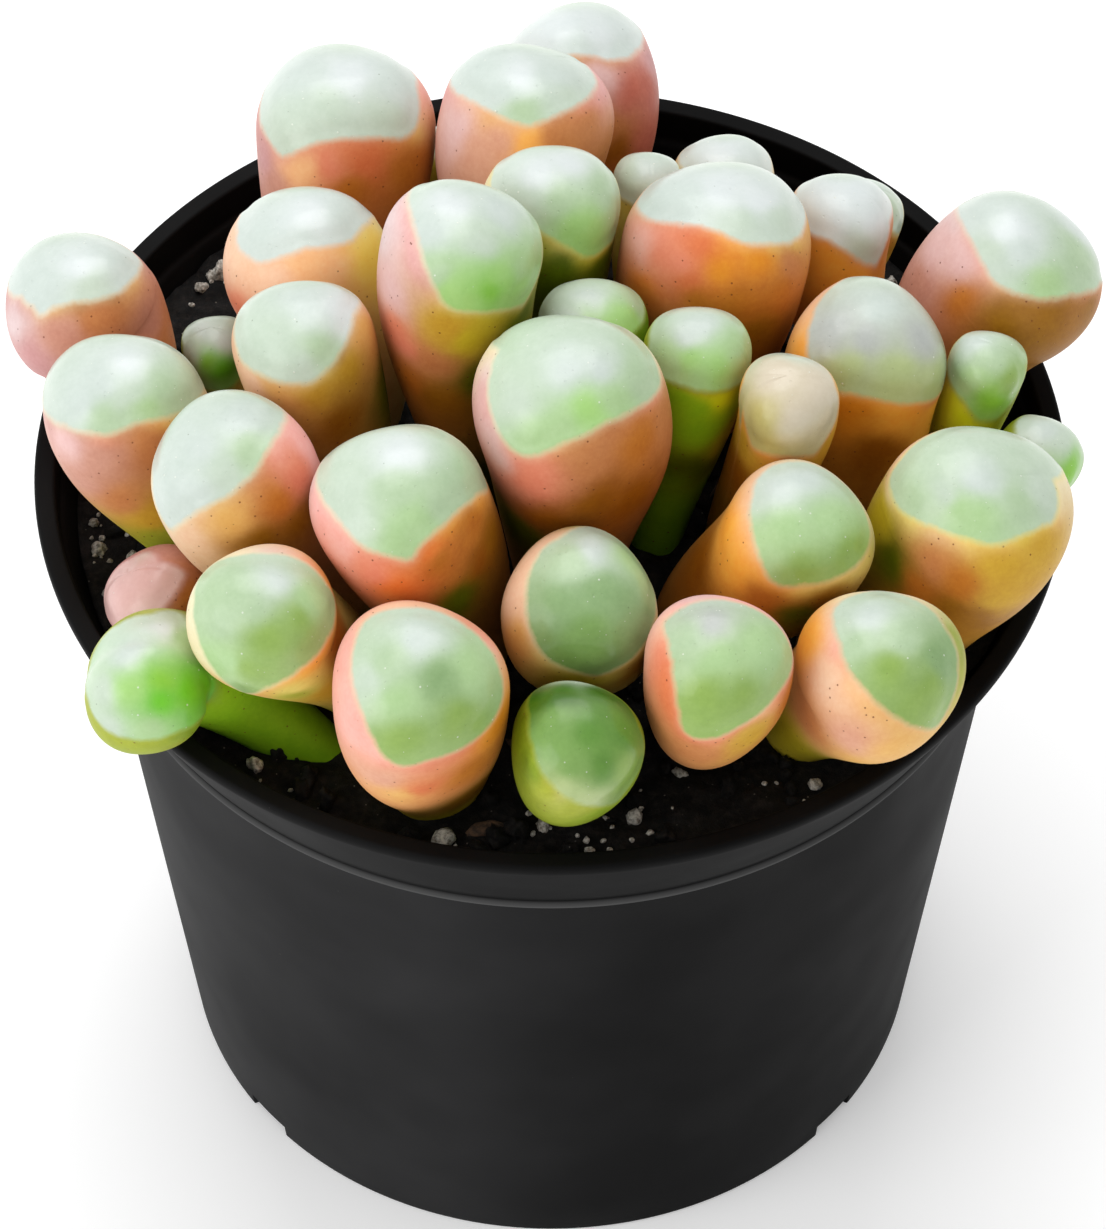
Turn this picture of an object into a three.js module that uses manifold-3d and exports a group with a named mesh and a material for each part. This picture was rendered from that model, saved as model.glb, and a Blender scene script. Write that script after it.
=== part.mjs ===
// Potted baby toes: a clump of club-shaped window leaves in a round, tapered nursery pot.
// Units are millimetres and +Z is up. The origin is on the pot's axis, at the level of its foot.
// The front of the pot, where the clump leans out most, faces -Y.

import * as THREE from 'three';
import { mergeVertices } from 'three/addons/utils/BufferGeometryUtils.js';
import Module from 'manifold-3d';

// Driving dimensions of the pot
const POT_HEIGHT = 48.3;
const RIM_RADIUS = 32;
const FOOT_RADIUS = 23.6;
const WALL = 0.9;
const COLLAR_BOTTOM = POT_HEIGHT - 7.5;
const COLLAR_STEP_RADIUS = 28.5;
const FOOT_RING_WIDTH = 1.9;
const BASE_LIFT = 1.0;
const NOTCH_COUNT = 4;
const NOTCH_HEIGHT = 1.2;
const NOTCH_WIDTH = 3.4;
const NOTCH_FIRST_AZIMUTH = 39;
const DRAIN_HOLE_RADIUS = 2.4;
const DRAIN_CIRCLE_RADIUS = 13;
const DRAIN_COUNT = 5;
const POT_SEGMENTS = 54;

// Driving dimensions of the soil
const SOIL_LEVEL = POT_HEIGHT - 3;
const SOIL_RELIEF = 0.45;
const SOIL_INSET = 0.1;
const SOIL_SEGMENTS = 30;
const SOIL_RINGS = 9;
const CLEARANCE = 0.3;
const PERLITE_COUNT = 20;
const PERLITE_SEED = 11;
const BARK_COUNT = 8;
const BARK_SEED = 29;
const BARK_THICKNESS = 0.8;
const SMALLEST_GRAIN = 0.55;
const LARGEST_GRAIN = 1.2;
const GRAIN_SPACING = 1.5;

// Driving dimensions of a leaf. Shares are of the head's radius, or of the way from the foot to the head.
const SOCKET_DEPTH = 3;
const LEAF_SIDES = 12;
const SOCKET_SIDES = 9;
const STEM_SHARE = 0.46;
const STEM_SWELL = 1.1;
const KEEL_DEPTH = 0.045;
const DOME_HEIGHT = 0.86;
const DOME_FULLNESS = 2.25;
const FOOT_ROUNDING = 0.15;
const LEAF_GAP = 0.24;
const UPRIGHT_CREEP = 0.12;
const RISE_SHARE = 0.54;
const SHOULDER_SHARE = 0.34;
const TANGENT_STEP = 0.02;

// Each leaf: foot [x, y] on the soil, centre of its head [x, y, height over the rim], head radius, the way
// its window leans [x, y] for one unit up, and the azimuth in degrees of its lowest keel. creep is the share
// of its way that a sprawling leaf runs along the soil. Rows run from the back to the front.
const LEAVES = [
  { foot: [1.6, 25.2], head: [0.4, 26.9, 4], radius: 5.4, lean: [0.05, 0.25], keel: -60 },
  { foot: [-14, 17], head: [-11.6, 20.6, 8.1], radius: 5.85, lean: [-0.05, 0.12], keel: -130 },
  { foot: [-0.2, 17.6], head: [-0.8, 18.2, 9.9], radius: 5.65, lean: [0, 0.28], keel: -90 },
  { foot: [-5.4, 24], head: [-5.8, 25.4, 0.6], radius: 2.6, lean: [-0.1, 0.3], keel: -60 },
  { foot: [-10.8, 22.8], head: [-11.2, 24.6, 0.2], radius: 2, lean: [-0.2, 0.3], keel: -90 },
  { foot: [5.4, 14.6], head: [6.1, 14.7, 9.5], radius: 2.2, lean: [0.05, 0.1], keel: -90 },
  { foot: [12, 14.2], head: [10.8, 17.2, 6.7], radius: 3.4, lean: [0.05, 0.15], keel: -70 },
  { foot: [18, 17], head: [19.4, 17.2, 3.4], radius: 2.8, lean: [0.2, 0.15], keel: -90 },
  { foot: [19.6, 8.8], head: [16.7, 11.8, 8.5], radius: 3.5, lean: [0.05, 0.1], keel: -80 },
  { foot: [25.6, 6.8], head: [28.7, 7.8, 7.1], radius: 5.75, lean: [0.1, 0.05], keel: -100 },
  { foot: [-25, 1.4], head: [-29, 6.6, 6.6], radius: 5, lean: [-0.28, 0.15], keel: -120 },
  { foot: [-12.6, 6], head: [-16.1, 7.4, 8.6], radius: 5.4, lean: [-0.05, 0.25], keel: -117 },
  { foot: [-4.6, 1.6], head: [-5.6, 1.6, 16.9], radius: 5.1, lean: [0.26, 0], keel: -100 },
  { foot: [0, 8.6], head: [2.6, 9, 12.2], radius: 4.45, lean: [0, 0.1], keel: -80 },
  { foot: [8.8, 7.6], head: [8.95, 6.6, 11.3], radius: 6.1, lean: [0.05, 0.22], keel: -68 },
  { foot: [-18, 8], head: [-20.7, 6.8, 3.2], radius: 2.3, lean: [-0.1, 0], keel: -90 },
  { foot: [-12, -2.2], head: [-13.1, -1.6, 12.6], radius: 4.5, lean: [-0.2, -0.1], keel: -90 },
  { foot: [0.9, 2.4], head: [2.4, 0.8, 11.1], radius: 3.5, lean: [0, -0.05], keel: -90 },
  { foot: [6.2, -3], head: [9.8, -3, 11.9], radius: 3.4, lean: [0.05, -0.05], keel: -90 },
  { foot: [10.4, -4.2], head: [14, -6, 12.6], radius: 3.15, lean: [0.1, -0.3], keel: -110 },
  { foot: [20, -3.4], head: [20.5, -0.6, 9.2], radius: 5.1, lean: [0.05, -0.06], keel: -30 },
  { foot: [24, 0.4], head: [22.8, 0.4, 9.1], radius: 2.5, lean: [0.3, 0], keel: -90 },
  { foot: [25.8, -4.2], head: [29.7, -3.4, 4.7], radius: 2.8, lean: [0.5, -0.05], keel: -90 },
  { foot: [-19, -8.4], head: [-25.6, -3.7, 8.8], radius: 5.2, lean: [-0.2, 0.12], keel: -110 },
  { foot: [-24, -11.6], head: [-23.2, -12.4, 1.8], radius: 3.6, lean: [-0.25, -0.1], keel: -90 },
  { foot: [-13.6, -8.2], head: [-18.1, -10.6, 11.6], radius: 5.25, lean: [-0.42, 0], keel: -140 },
  { foot: [0.8, -6.6], head: [0.7, -8.7, 14.1], radius: 6.15, lean: [-0.14, 0.06], keel: -110 },
  { foot: [-5, -12.2], head: [-11.6, -15.6, 11.6], radius: 5.5, lean: [0, 0], keel: -87 },
  { foot: [-11.4, -13.8], head: [-17.2, -20.6, 8.9], radius: 4.65, lean: [-0.12, -0.35], keel: -52 },
  { foot: [-10.5, -19.8], head: [-23.5, -22.8, 4.2], radius: 3.75, lean: [-1.3, -0.4], keel: -10, creep: 0.27 },
  { foot: [1.8, -12.6], head: [2.7, -18.8, 8.6], radius: 4.85, lean: [0, -0.6], keel: -30 },
  { foot: [-7, -21.8], head: [-8.6, -25, 9.3], radius: 5.5, lean: [0.1, -0.3], keel: -120 },
  { foot: [0.8, -20], head: [0.6, -26.9, 6.8], radius: 4.1, lean: [0, -0.9], keel: -110 },
  { foot: [8.2, -16.4], head: [10.2, -23.6, 9.7], radius: 4.6, lean: [0.15, -0.55], keel: -110 },
  { foot: [8, -10.4], head: [16, -13.4, 8.5], radius: 4.85, lean: [0.3, -0.3], keel: -135 },
  { foot: [14, -16.4], head: [17.95, -21.9, 7], radius: 5.25, lean: [0.4, -0.35], keel: -100 },
  { foot: [22, -12.8], head: [25.7, -11.6, 7.7], radius: 6.1, lean: [0.05, 0.06], keel: -80 },
];

const wasm = await Module();
wasm.setup();

const degrees = (angle) => (angle * Math.PI) / 180;

// A repeatable random number from 0 to 1, so the soil is the same every time.
function randomSource(seed) {
  let state = seed;
  return () => {
    state = (state * 1664525 + 1013904223) % 4294967296;
    return state / 4294967296;
  };
}

function toSolid(geometry) {
  const bare = geometry.clone();
  bare.deleteAttribute('normal');
  bare.deleteAttribute('uv');
  const merged = mergeVertices(bare, 1e-4);
  return new wasm.Manifold(new wasm.Mesh({
    numProp: 3,
    vertProperties: new Float32Array(merged.getAttribute('position').array),
    triVerts: new Uint32Array(merged.getIndex().array),
  }));
}

function toGeometry(solid) {
  const { vertProperties, triVerts } = solid.getMesh();
  const geometry = new THREE.BufferGeometry();
  geometry.setAttribute('position', new THREE.BufferAttribute(new Float32Array(vertProperties), 3));
  geometry.setIndex(new THREE.BufferAttribute(new Uint32Array(triVerts), 1));
  geometry.computeVertexNormals();
  return geometry;
}

// A closed body from rings of points, with one point closing each end. Rings turn anticlockwise seen from
// the last end.
function ringBody(startPoint, rings, endPoint) {
  const points = [startPoint, ...rings.flat(), endPoint];
  const sides = rings[0].length;
  const faces = [];
  const at = (ring, side) => 1 + ring * sides + (side % sides);
  for (let side = 0; side < sides; side += 1) {
    faces.push(0, at(0, side + 1), at(0, side));
    for (let ring = 0; ring + 1 < rings.length; ring += 1) {
      faces.push(at(ring, side), at(ring, side + 1), at(ring + 1, side + 1));
      faces.push(at(ring, side), at(ring + 1, side + 1), at(ring + 1, side));
    }
    faces.push(at(rings.length - 1, side), at(rings.length - 1, side + 1), points.length - 1);
  }
  const geometry = new THREE.BufferGeometry();
  geometry.setAttribute('position', new THREE.Float32BufferAttribute(points.flatMap((p) => p.toArray()), 3));
  geometry.setIndex(faces);
  geometry.computeVertexNormals();
  return geometry;
}

// Pot: one turned wall with a flared collar, a raised base on a foot ring, drain holes and foot notches.
const COLLAR_TOP_RADIUS = RIM_RADIUS - 0.3;
const LIP_INNER_RADIUS = RIM_RADIUS - 1.4;
const INNER_LEDGE_Z = POT_HEIGHT - 2.2;
const WALL_TOP_INNER_RADIUS = RIM_RADIUS - 1.9;
const INNER_FLOOR_RADIUS = FOOT_RADIUS - 0.8;
const BASE_TOP = BASE_LIFT + WALL;
const COLLAR_INNER_Z = COLLAR_BOTTOM - 0.2;
const COLLAR_INNER_RADIUS = COLLAR_STEP_RADIUS - WALL - 0.25;

function potProfile() {
  const outline = [
    [0, BASE_LIFT],
    [FOOT_RADIUS - FOOT_RING_WIDTH, BASE_LIFT],
    [FOOT_RADIUS - FOOT_RING_WIDTH, 0],
    [FOOT_RADIUS - 0.2, 0],
    [FOOT_RADIUS, 0.25],
    [COLLAR_STEP_RADIUS - 0.1, COLLAR_BOTTOM - 0.6],
    [COLLAR_STEP_RADIUS + 0.15, COLLAR_BOTTOM - 0.3],
    [COLLAR_STEP_RADIUS, COLLAR_BOTTOM],
    [COLLAR_TOP_RADIUS + 0.2, POT_HEIGHT - 0.7],
    [RIM_RADIUS, POT_HEIGHT - 0.35],
    [COLLAR_TOP_RADIUS, POT_HEIGHT],
    [LIP_INNER_RADIUS + 0.2, POT_HEIGHT],
    [LIP_INNER_RADIUS, POT_HEIGHT - 0.2],
    [LIP_INNER_RADIUS - 0.1, INNER_LEDGE_Z],
    [WALL_TOP_INNER_RADIUS, INNER_LEDGE_Z - 0.25],
    [COLLAR_INNER_RADIUS, COLLAR_INNER_Z],
    [INNER_FLOOR_RADIUS, BASE_TOP + 0.6],
    [INNER_FLOOR_RADIUS - 0.6, BASE_TOP],
    [0, BASE_TOP],
  ];
  return outline.map(([radius, z]) => new THREE.Vector2(radius, z));
}

function makePot() {
  const turned = new THREE.LatheGeometry(potProfile(), POT_SEGMENTS);
  turned.rotateX(Math.PI / 2);
  let solid = toSolid(turned);
  for (let index = 0; index < NOTCH_COUNT; index += 1) {
    const mirrored = index % 2 === 0 ? 1 : -1;
    const half = index < 2 ? 0 : 180;
    const azimuth = degrees(half + mirrored * NOTCH_FIRST_AZIMUTH);
    const notch = new THREE.BoxGeometry(2 * FOOT_RING_WIDTH + 2, NOTCH_WIDTH, 2 * NOTCH_HEIGHT);
    notch.translate(FOOT_RADIUS, 0, 0);
    notch.rotateZ(azimuth);
    solid = solid.subtract(toSolid(notch));
  }
  for (let index = 0; index < DRAIN_COUNT; index += 1) {
    const azimuth = degrees(90 + (360 / DRAIN_COUNT) * index);
    const drill = new THREE.CylinderGeometry(DRAIN_HOLE_RADIUS, DRAIN_HOLE_RADIUS, 4 * WALL, 16);
    drill.rotateX(Math.PI / 2);
    drill.translate(
      DRAIN_CIRCLE_RADIUS * Math.cos(azimuth),
      DRAIN_CIRCLE_RADIUS * Math.sin(azimuth),
      BASE_LIFT + WALL / 2,
    );
    solid = solid.subtract(toSolid(drill));
  }
  return toGeometry(solid);
}

// Leaf stems: a smooth curve with four control points, from the buried foot to the centre of the head.
class Stem {
  constructor({ foot, head, radius, lean, keel, creep = UPRIGHT_CREEP }) {
    this.radius = radius;
    this.keel = new THREE.Vector3(Math.cos(degrees(keel)), Math.sin(degrees(keel)), 0);
    this.base = new THREE.Vector3(foot[0], foot[1], SOIL_LEVEL - SOCKET_DEPTH);
    this.head = new THREE.Vector3(head[0], head[1], POT_HEIGHT + head[2]);
    this.tip = new THREE.Vector3(lean[0], lean[1], 1).normalize();
    const reach = this.base.distanceTo(this.head);
    this.rise = new THREE.Vector3(
      this.base.x + creep * (this.head.x - this.base.x),
      this.base.y + creep * (this.head.y - this.base.y),
      this.base.z + (RISE_SHARE - creep) * reach,
    );
    this.shoulder = this.head.clone().addScaledVector(this.tip, -SHOULDER_SHARE * reach);
  }

  weights(t) {
    const s = 1 - t;
    return [s * s * s, 3 * s * s * t, 3 * s * t * t, t * t * t];
  }

  controls() {
    return [this.base, this.rise, this.shoulder, this.head];
  }

  point(t) {
    const sum = new THREE.Vector3();
    this.weights(t).forEach((weight, index) => sum.addScaledVector(this.controls()[index], weight));
    return sum;
  }

  direction(t) {
    const ahead = this.point(Math.min(1, t + TANGENT_STEP));
    return ahead.sub(this.point(Math.max(0, t - TANGENT_STEP))).normalize();
  }

  girth(t) {
    const swell = Math.sin((t * Math.PI) / 2) ** STEM_SWELL;
    return this.radius * (STEM_SHARE + (1 - STEM_SHARE) * swell);
  }
}

// How far each control point may move when leaves press on each other: the head stays nearly where it is.
const FREEDOM = [0.5, 1.0, 0.8, 0.2];
const CONTACT_STEPS = 10;
const SETTLE_ROUNDS = 600;
const GIVE = 0.4;
const STIFFNESS = 0.006;

function push(stem, t, shift) {
  const weights = stem.weights(t);
  const total = weights.reduce((sum, weight) => sum + weight * weight, 0);
  stem.controls().forEach((control, index) => {
    const share = (weights[index] * FREEDOM[index]) / total;
    control.x += shift.x * share;
    control.y += shift.y * share;
    if (index > 0) control.z += shift.z * share;
  });
}

// Leaves grow against each other and against the pot's rim, so they bend until all are clear.
function settle(stems) {
  const steps = Array.from({ length: CONTACT_STEPS + 1 }, (_, index) => index / CONTACT_STEPS);
  const homes = stems.map((stem) => stem.controls().map((control) => control.clone()));
  const sample = (stem) => steps.map((t) => ({ t, at: stem.point(t), girth: stem.girth(t) }));
  for (let round = 0; round < SETTLE_ROUNDS; round += 1) {
    const samples = stems.map(sample);
    stems.forEach((stem, first) => {
      for (let second = first + 1; second < stems.length; second += 1) {
        separate(stem, stems[second], samples[first], samples[second]);
      }
      keepInsidePot(stem, samples[first]);
      stem.controls().forEach((control, index) => control.lerp(homes[first][index], STIFFNESS));
    });
  }
}

// Where two leaves press deepest, each gives way by a part of the overlap.
function separate(stemA, stemB, samplesA, samplesB) {
  let deepest = 0;
  let contact = null;
  samplesA.forEach((a) => {
    samplesB.forEach((b) => {
      const overlap = a.girth + b.girth + LEAF_GAP - a.at.distanceTo(b.at);
      if (overlap > deepest) {
        deepest = overlap;
        contact = [a, b];
      }
    });
  });
  if (!contact) return;
  const [a, b] = contact;
  const apart = a.at.clone().sub(b.at).setLength(GIVE * deepest);
  push(stemA, a.t, apart);
  push(stemB, b.t, apart.negate());
}

const LIP_THICKNESS = 1.0;
const LIP_MIDDLE_RADIUS = (RIM_RADIUS + LIP_INNER_RADIUS) / 2;
const LIP_MIDDLE_Z = POT_HEIGHT - 0.7;
const WALL_LIMIT = COLLAR_INNER_RADIUS + 1.0;

// Below the rim a leaf stays inside the wall, and above it the leaf leans over the lip without touching it.
function keepInsidePot(stem, samples) {
  samples.forEach(({ t, at, girth }) => {
    const outward = new THREE.Vector3(at.x, at.y, 0).normalize();
    const lip = outward.clone().multiplyScalar(LIP_MIDDLE_RADIUS).setZ(LIP_MIDDLE_Z);
    const away = at.clone().sub(lip);
    const belowRim = at.z < INNER_LEDGE_Z;
    const overlap = belowRim
      ? Math.hypot(at.x, at.y) + girth + LEAF_GAP - WALL_LIMIT
      : girth + LIP_THICKNESS + LEAF_GAP - away.length();
    if (overlap <= 0) return;
    const shift = belowRim ? outward.negate() : away.normalize();
    push(stem, t, shift.multiplyScalar(GIVE * overlap));
  });
}

// One ring of a leaf: a rounded triangle with its three keels, across the leaf's direction.
function leafRing(centre, direction, keel, radius, sides = LEAF_SIDES) {
  const across = keel.clone().addScaledVector(direction, -keel.dot(direction)).normalize();
  const side = direction.clone().cross(across);
  return Array.from({ length: sides }, (_, index) => {
    const angle = (2 * Math.PI * index) / sides;
    const reach = radius * (1 - KEEL_DEPTH + KEEL_DEPTH * Math.cos(3 * angle));
    return centre.clone()
      .addScaledVector(across, reach * Math.cos(angle))
      .addScaledVector(side, reach * Math.sin(angle));
  });
}

const BODY_STATIONS = [0, 0.25, 0.5, 0.72, 0.88, 1];
const DOME_STATIONS = [0.36, 0.68];

function makeLeaf(stem) {
  const tip = stem.direction(1);
  const bodyRing = (t) => leafRing(stem.point(t), stem.direction(t), stem.keel, stem.girth(t));
  const rings = BODY_STATIONS.map(bodyRing);
  DOME_STATIONS.forEach((share) => {
    const angle = (share * Math.PI) / 2;
    const radius = stem.radius * Math.cos(angle) ** (2 / DOME_FULLNESS);
    const height = DOME_HEIGHT * stem.radius * Math.sin(angle) ** (2 / DOME_FULLNESS);
    rings.push(leafRing(stem.head.clone().addScaledVector(tip, height), tip, stem.keel, radius));
  });
  const bottom = stem.point(0).addScaledVector(stem.direction(0), -FOOT_ROUNDING * stem.girth(0));
  const top = stem.head.clone().addScaledVector(tip, DOME_HEIGHT * stem.radius);
  return ringBody(bottom, rings, top);
}

// The socket that a leaf's foot stands in: the leaf's own lower part, wider all round by the clearance.
const SOCKET_STATIONS = [0, 0.3, 0.6];

function makeSocket(stem) {
  const rings = SOCKET_STATIONS.map((t) => {
    const girth = stem.girth(t) / (1 - 2 * KEEL_DEPTH) + CLEARANCE;
    return leafRing(stem.point(t), stem.direction(t), stem.keel, girth, SOCKET_SIDES);
  });
  const depth = FOOT_ROUNDING * stem.girth(0) + CLEARANCE;
  const foot = stem.point(0).addScaledVector(stem.direction(0), -depth);
  return ringBody(foot, rings, stem.point(SOCKET_STATIONS.at(-1)));
}

// Soil: fills the pot from its base, with an uneven crumbly top.
function soilHeight(x, y) {
  const waves = Math.sin(0.55 * x + 1.3) * Math.cos(0.48 * y - 0.4)
    + 0.6 * Math.sin(1.15 * x - 0.9 * y + 2.1)
    + 0.4 * Math.sin(2.1 * x + 1.7 * y);
  return SOIL_LEVEL + 0.5 * SOIL_RELIEF * waves;
}

function soilRadius(z) {
  const share = (z - BASE_TOP) / (COLLAR_INNER_Z - BASE_TOP);
  const wall = z < COLLAR_INNER_Z
    ? INNER_FLOOR_RADIUS + share * (COLLAR_INNER_RADIUS - INNER_FLOOR_RADIUS)
    : COLLAR_INNER_RADIUS + ((z - COLLAR_INNER_Z) / (INNER_LEDGE_Z - COLLAR_INNER_Z))
      * (WALL_TOP_INNER_RADIUS - COLLAR_INNER_RADIUS);
  return wall - CLEARANCE - SOIL_INSET;
}

function makeSoilBody() {
  const ringAt = (radius, heightOf) => Array.from({ length: SOIL_SEGMENTS }, (_, index) => {
    const angle = (2 * Math.PI * index) / SOIL_SEGMENTS;
    const x = radius * Math.cos(angle);
    const y = radius * Math.sin(angle);
    return new THREE.Vector3(x, y, heightOf(x, y));
  });
  const floor = BASE_TOP + CLEARANCE;
  const floorChamfer = 1;
  const edgeRadius = soilRadius(SOIL_LEVEL);
  const rings = [
    ringAt(INNER_FLOOR_RADIUS - CLEARANCE - floorChamfer, () => floor),
    ringAt(soilRadius(floor + floorChamfer), () => floor + floorChamfer),
    ringAt(soilRadius(COLLAR_INNER_Z), () => COLLAR_INNER_Z),
  ];
  for (let ring = 0; ring < SOIL_RINGS; ring += 1) {
    rings.push(ringAt(edgeRadius * (1 - ring / SOIL_RINGS), soilHeight));
  }
  const bottom = new THREE.Vector3(0, 0, floor);
  const top = new THREE.Vector3(0, 0, soilHeight(0, 0));
  return toSolid(ringBody(bottom, rings, top));
}

const SHARE_AT_SOIL = 0.2;

function clearOfLeaves(x, y, reach, stems) {
  return stems.every((stem) => {
    const atSoil = stem.point(SHARE_AT_SOIL);
    return Math.hypot(atSoil.x - x, atSoil.y - y) > stem.girth(SHARE_AT_SOIL) + reach + CLEARANCE;
  });
}

// Loose pieces in the top of the mix, each sunk to its middle: white perlite grains and flat bark chips.
function scatter(stems, count, seed, makePiece) {
  const random = randomSource(seed);
  const pieces = [];
  const places = [];
  while (pieces.length < count) {
    const angle = 2 * Math.PI * random();
    const distance = (soilRadius(SOIL_LEVEL) - GRAIN_SPACING) * Math.sqrt(random());
    const x = distance * Math.cos(angle);
    const y = distance * Math.sin(angle);
    const size = SMALLEST_GRAIN + (LARGEST_GRAIN - SMALLEST_GRAIN) * random();
    const turn = 2 * Math.PI * random();
    const free = places.every((place) => {
      const reach = GRAIN_SPACING * (place.size + size);
      return Math.hypot(place.x - x, place.y - y) > reach;
    });
    if (free && clearOfLeaves(x, y, size, stems)) {
      places.push({ x, y, size });
      const piece = makePiece(size);
      piece.rotateZ(turn);
      piece.translate(x, y, soilHeight(x, y));
      pieces.push(toSolid(piece));
    }
  }
  return pieces;
}

function perliteGrain(size) {
  const grain = new THREE.IcosahedronGeometry(size, 0);
  grain.scale(1, 0.85, 0.7);
  return grain;
}

function barkChip(size) {
  const chip = new THREE.BoxGeometry(2.6 * size, 0.9 * size, BARK_THICKNESS);
  chip.rotateX(0.25);
  return chip;
}

function makeSoil(stems) {
  const pieces = [
    ...scatter(stems, PERLITE_COUNT, PERLITE_SEED, perliteGrain),
    ...scatter(stems, BARK_COUNT, BARK_SEED, barkChip),
  ];
  const filled = pieces.reduce((whole, piece) => whole.add(piece), makeSoilBody());
  const sockets = stems.map((stem) => toSolid(makeSocket(stem)));
  return toGeometry(sockets.reduce((whole, socket) => whole.subtract(socket), filled));
}

const POT_MATERIAL = new THREE.MeshStandardMaterial({ color: 0x1d1e20, roughness: 0.55, metalness: 0 });
const SOIL_MATERIAL = new THREE.MeshStandardMaterial({ color: 0x17110d, roughness: 0.95, metalness: 0 });
const LEAF_MATERIAL = new THREE.MeshStandardMaterial({ color: 0xb9c48a, roughness: 0.35, metalness: 0 });

function named(name, geometry, material) {
  const mesh = new THREE.Mesh(geometry, material);
  mesh.name = name;
  return mesh;
}

const stems = LEAVES.map((leaf) => new Stem(leaf));
settle(stems);

const plant = new THREE.Group();
stems.forEach((stem, index) => {
  plant.add(named(`leaf_${String(index + 1).padStart(2, '0')}`, makeLeaf(stem), LEAF_MATERIAL));
});

const pottedPlant = new THREE.Group();
pottedPlant.add(named('pot', makePot(), POT_MATERIAL));
pottedPlant.add(named('soil', makeSoil(stems), SOIL_MATERIAL));
pottedPlant.add(plant);

export default pottedPlant;
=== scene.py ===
"""Looks of the potted baby toes: window leaves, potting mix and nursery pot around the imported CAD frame."""

import math
import random

import bmesh
import bpy
import numpy as np
from mathutils import Euler, Matrix, Vector, noise
from mathutils.bvhtree import BVHTree
from mathutils.kdtree import KDTree


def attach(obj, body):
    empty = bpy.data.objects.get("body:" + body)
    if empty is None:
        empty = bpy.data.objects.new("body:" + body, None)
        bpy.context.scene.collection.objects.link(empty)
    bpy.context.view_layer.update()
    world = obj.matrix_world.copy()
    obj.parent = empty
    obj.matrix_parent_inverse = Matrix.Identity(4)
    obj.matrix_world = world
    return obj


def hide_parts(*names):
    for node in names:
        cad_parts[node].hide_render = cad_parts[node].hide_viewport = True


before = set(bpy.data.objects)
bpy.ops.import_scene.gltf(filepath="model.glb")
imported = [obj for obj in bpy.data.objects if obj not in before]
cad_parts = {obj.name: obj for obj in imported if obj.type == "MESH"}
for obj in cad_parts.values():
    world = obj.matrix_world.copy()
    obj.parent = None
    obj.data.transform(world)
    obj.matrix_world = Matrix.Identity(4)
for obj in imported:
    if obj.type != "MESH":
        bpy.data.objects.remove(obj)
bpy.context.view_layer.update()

# Metres, in the frame of the CAD: +Z up, the pot's foot at z = 0, the photo's camera towards -Y
MM = 0.001
RIM_HEIGHT = 48.3 * MM
RIM_RADIUS = 32 * MM
SOIL_LEVEL = 45.3 * MM


# Camera: where the photo's pixels lie in space

PHOTO_WIDTH = 1106
PHOTO_HEIGHT = 1229
RIM_CENTRE_PIXEL = (549.7, 462.5)
RIM_RADIUS_IN_PIXELS = 517.6
VIEW_ELEVATION = math.radians(48.98)
VIEW_DISTANCE = 16 * RIM_RADIUS
SENSOR_SIZE = 36.0
NEAREST_SEEN = 0.01
FARTHEST_SEEN = 20
FOCAL_PIXELS = RIM_RADIUS_IN_PIXELS * VIEW_DISTANCE / RIM_RADIUS

TO_CAMERA = Vector((0, -math.cos(VIEW_ELEVATION), math.sin(VIEW_ELEVATION)))
CAMERA_PLACE = Vector((0, 0, RIM_HEIGHT)) + VIEW_DISTANCE * TO_CAMERA
TILT_BELOW_RIM = math.atan((PHOTO_HEIGHT / 2 - RIM_CENTRE_PIXEL[1]) / FOCAL_PIXELS)
TURN_TO_RIM = math.atan((PHOTO_WIDTH / 2 - RIM_CENTRE_PIXEL[0]) / FOCAL_PIXELS)
CAMERA_TURN = Euler((math.pi / 2 - VIEW_ELEVATION - TILT_BELOW_RIM, 0, -TURN_TO_RIM))


def add_to_scene(name, data):
    """A new object for the data, linked into the scene."""
    made = bpy.data.objects.new(name, data)
    bpy.context.scene.collection.objects.link(made)
    return made


def add_camera():
    data = bpy.data.cameras.new("photo_camera")
    data.sensor_width = SENSOR_SIZE
    data.lens = FOCAL_PIXELS * SENSOR_SIZE / max(PHOTO_WIDTH, PHOTO_HEIGHT)
    data.clip_start = NEAREST_SEEN
    data.clip_end = FARTHEST_SEEN
    camera = add_to_scene("photo_camera", data)
    camera.location = CAMERA_PLACE
    camera.rotation_euler = CAMERA_TURN
    bpy.context.scene.camera = camera


def pixel_ray(x, y):
    """The direction in which the camera sees a pixel of the photo."""
    across = (x - PHOTO_WIDTH / 2) / FOCAL_PIXELS
    up = (PHOTO_HEIGHT / 2 - y) / FOCAL_PIXELS
    ray = Vector((across, up, -1)).normalized()
    ray.rotate(CAMERA_TURN)
    return ray


def soil_point(x, y):
    """The point of the soil's surface that the camera sees at a pixel of the photo."""
    ray = pixel_ray(x, y)
    return CAMERA_PLACE + ray * ((SOIL_LEVEL - CAMERA_PLACE.z) / ray.z)


# Colours, as they look in daylight, with painted light and shade in those given for lit and shaded places


def linear(red, green, blue):
    """A colour given as 0 to 255 in sRGB, in the linear values that Blender works with."""
    shares = [value / 255 for value in (red, green, blue)]
    return tuple(s / 12.92 if s <= 0.04045 else ((s + 0.055) / 1.055) ** 2.4 for s in shares)


# The skin's own colours, with painted light and shade: the paler names go on the lit sides of the leaves, and
# the darker ones (chestnut, umber, brown, moss) on shaded sides and low between the leaves
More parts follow.
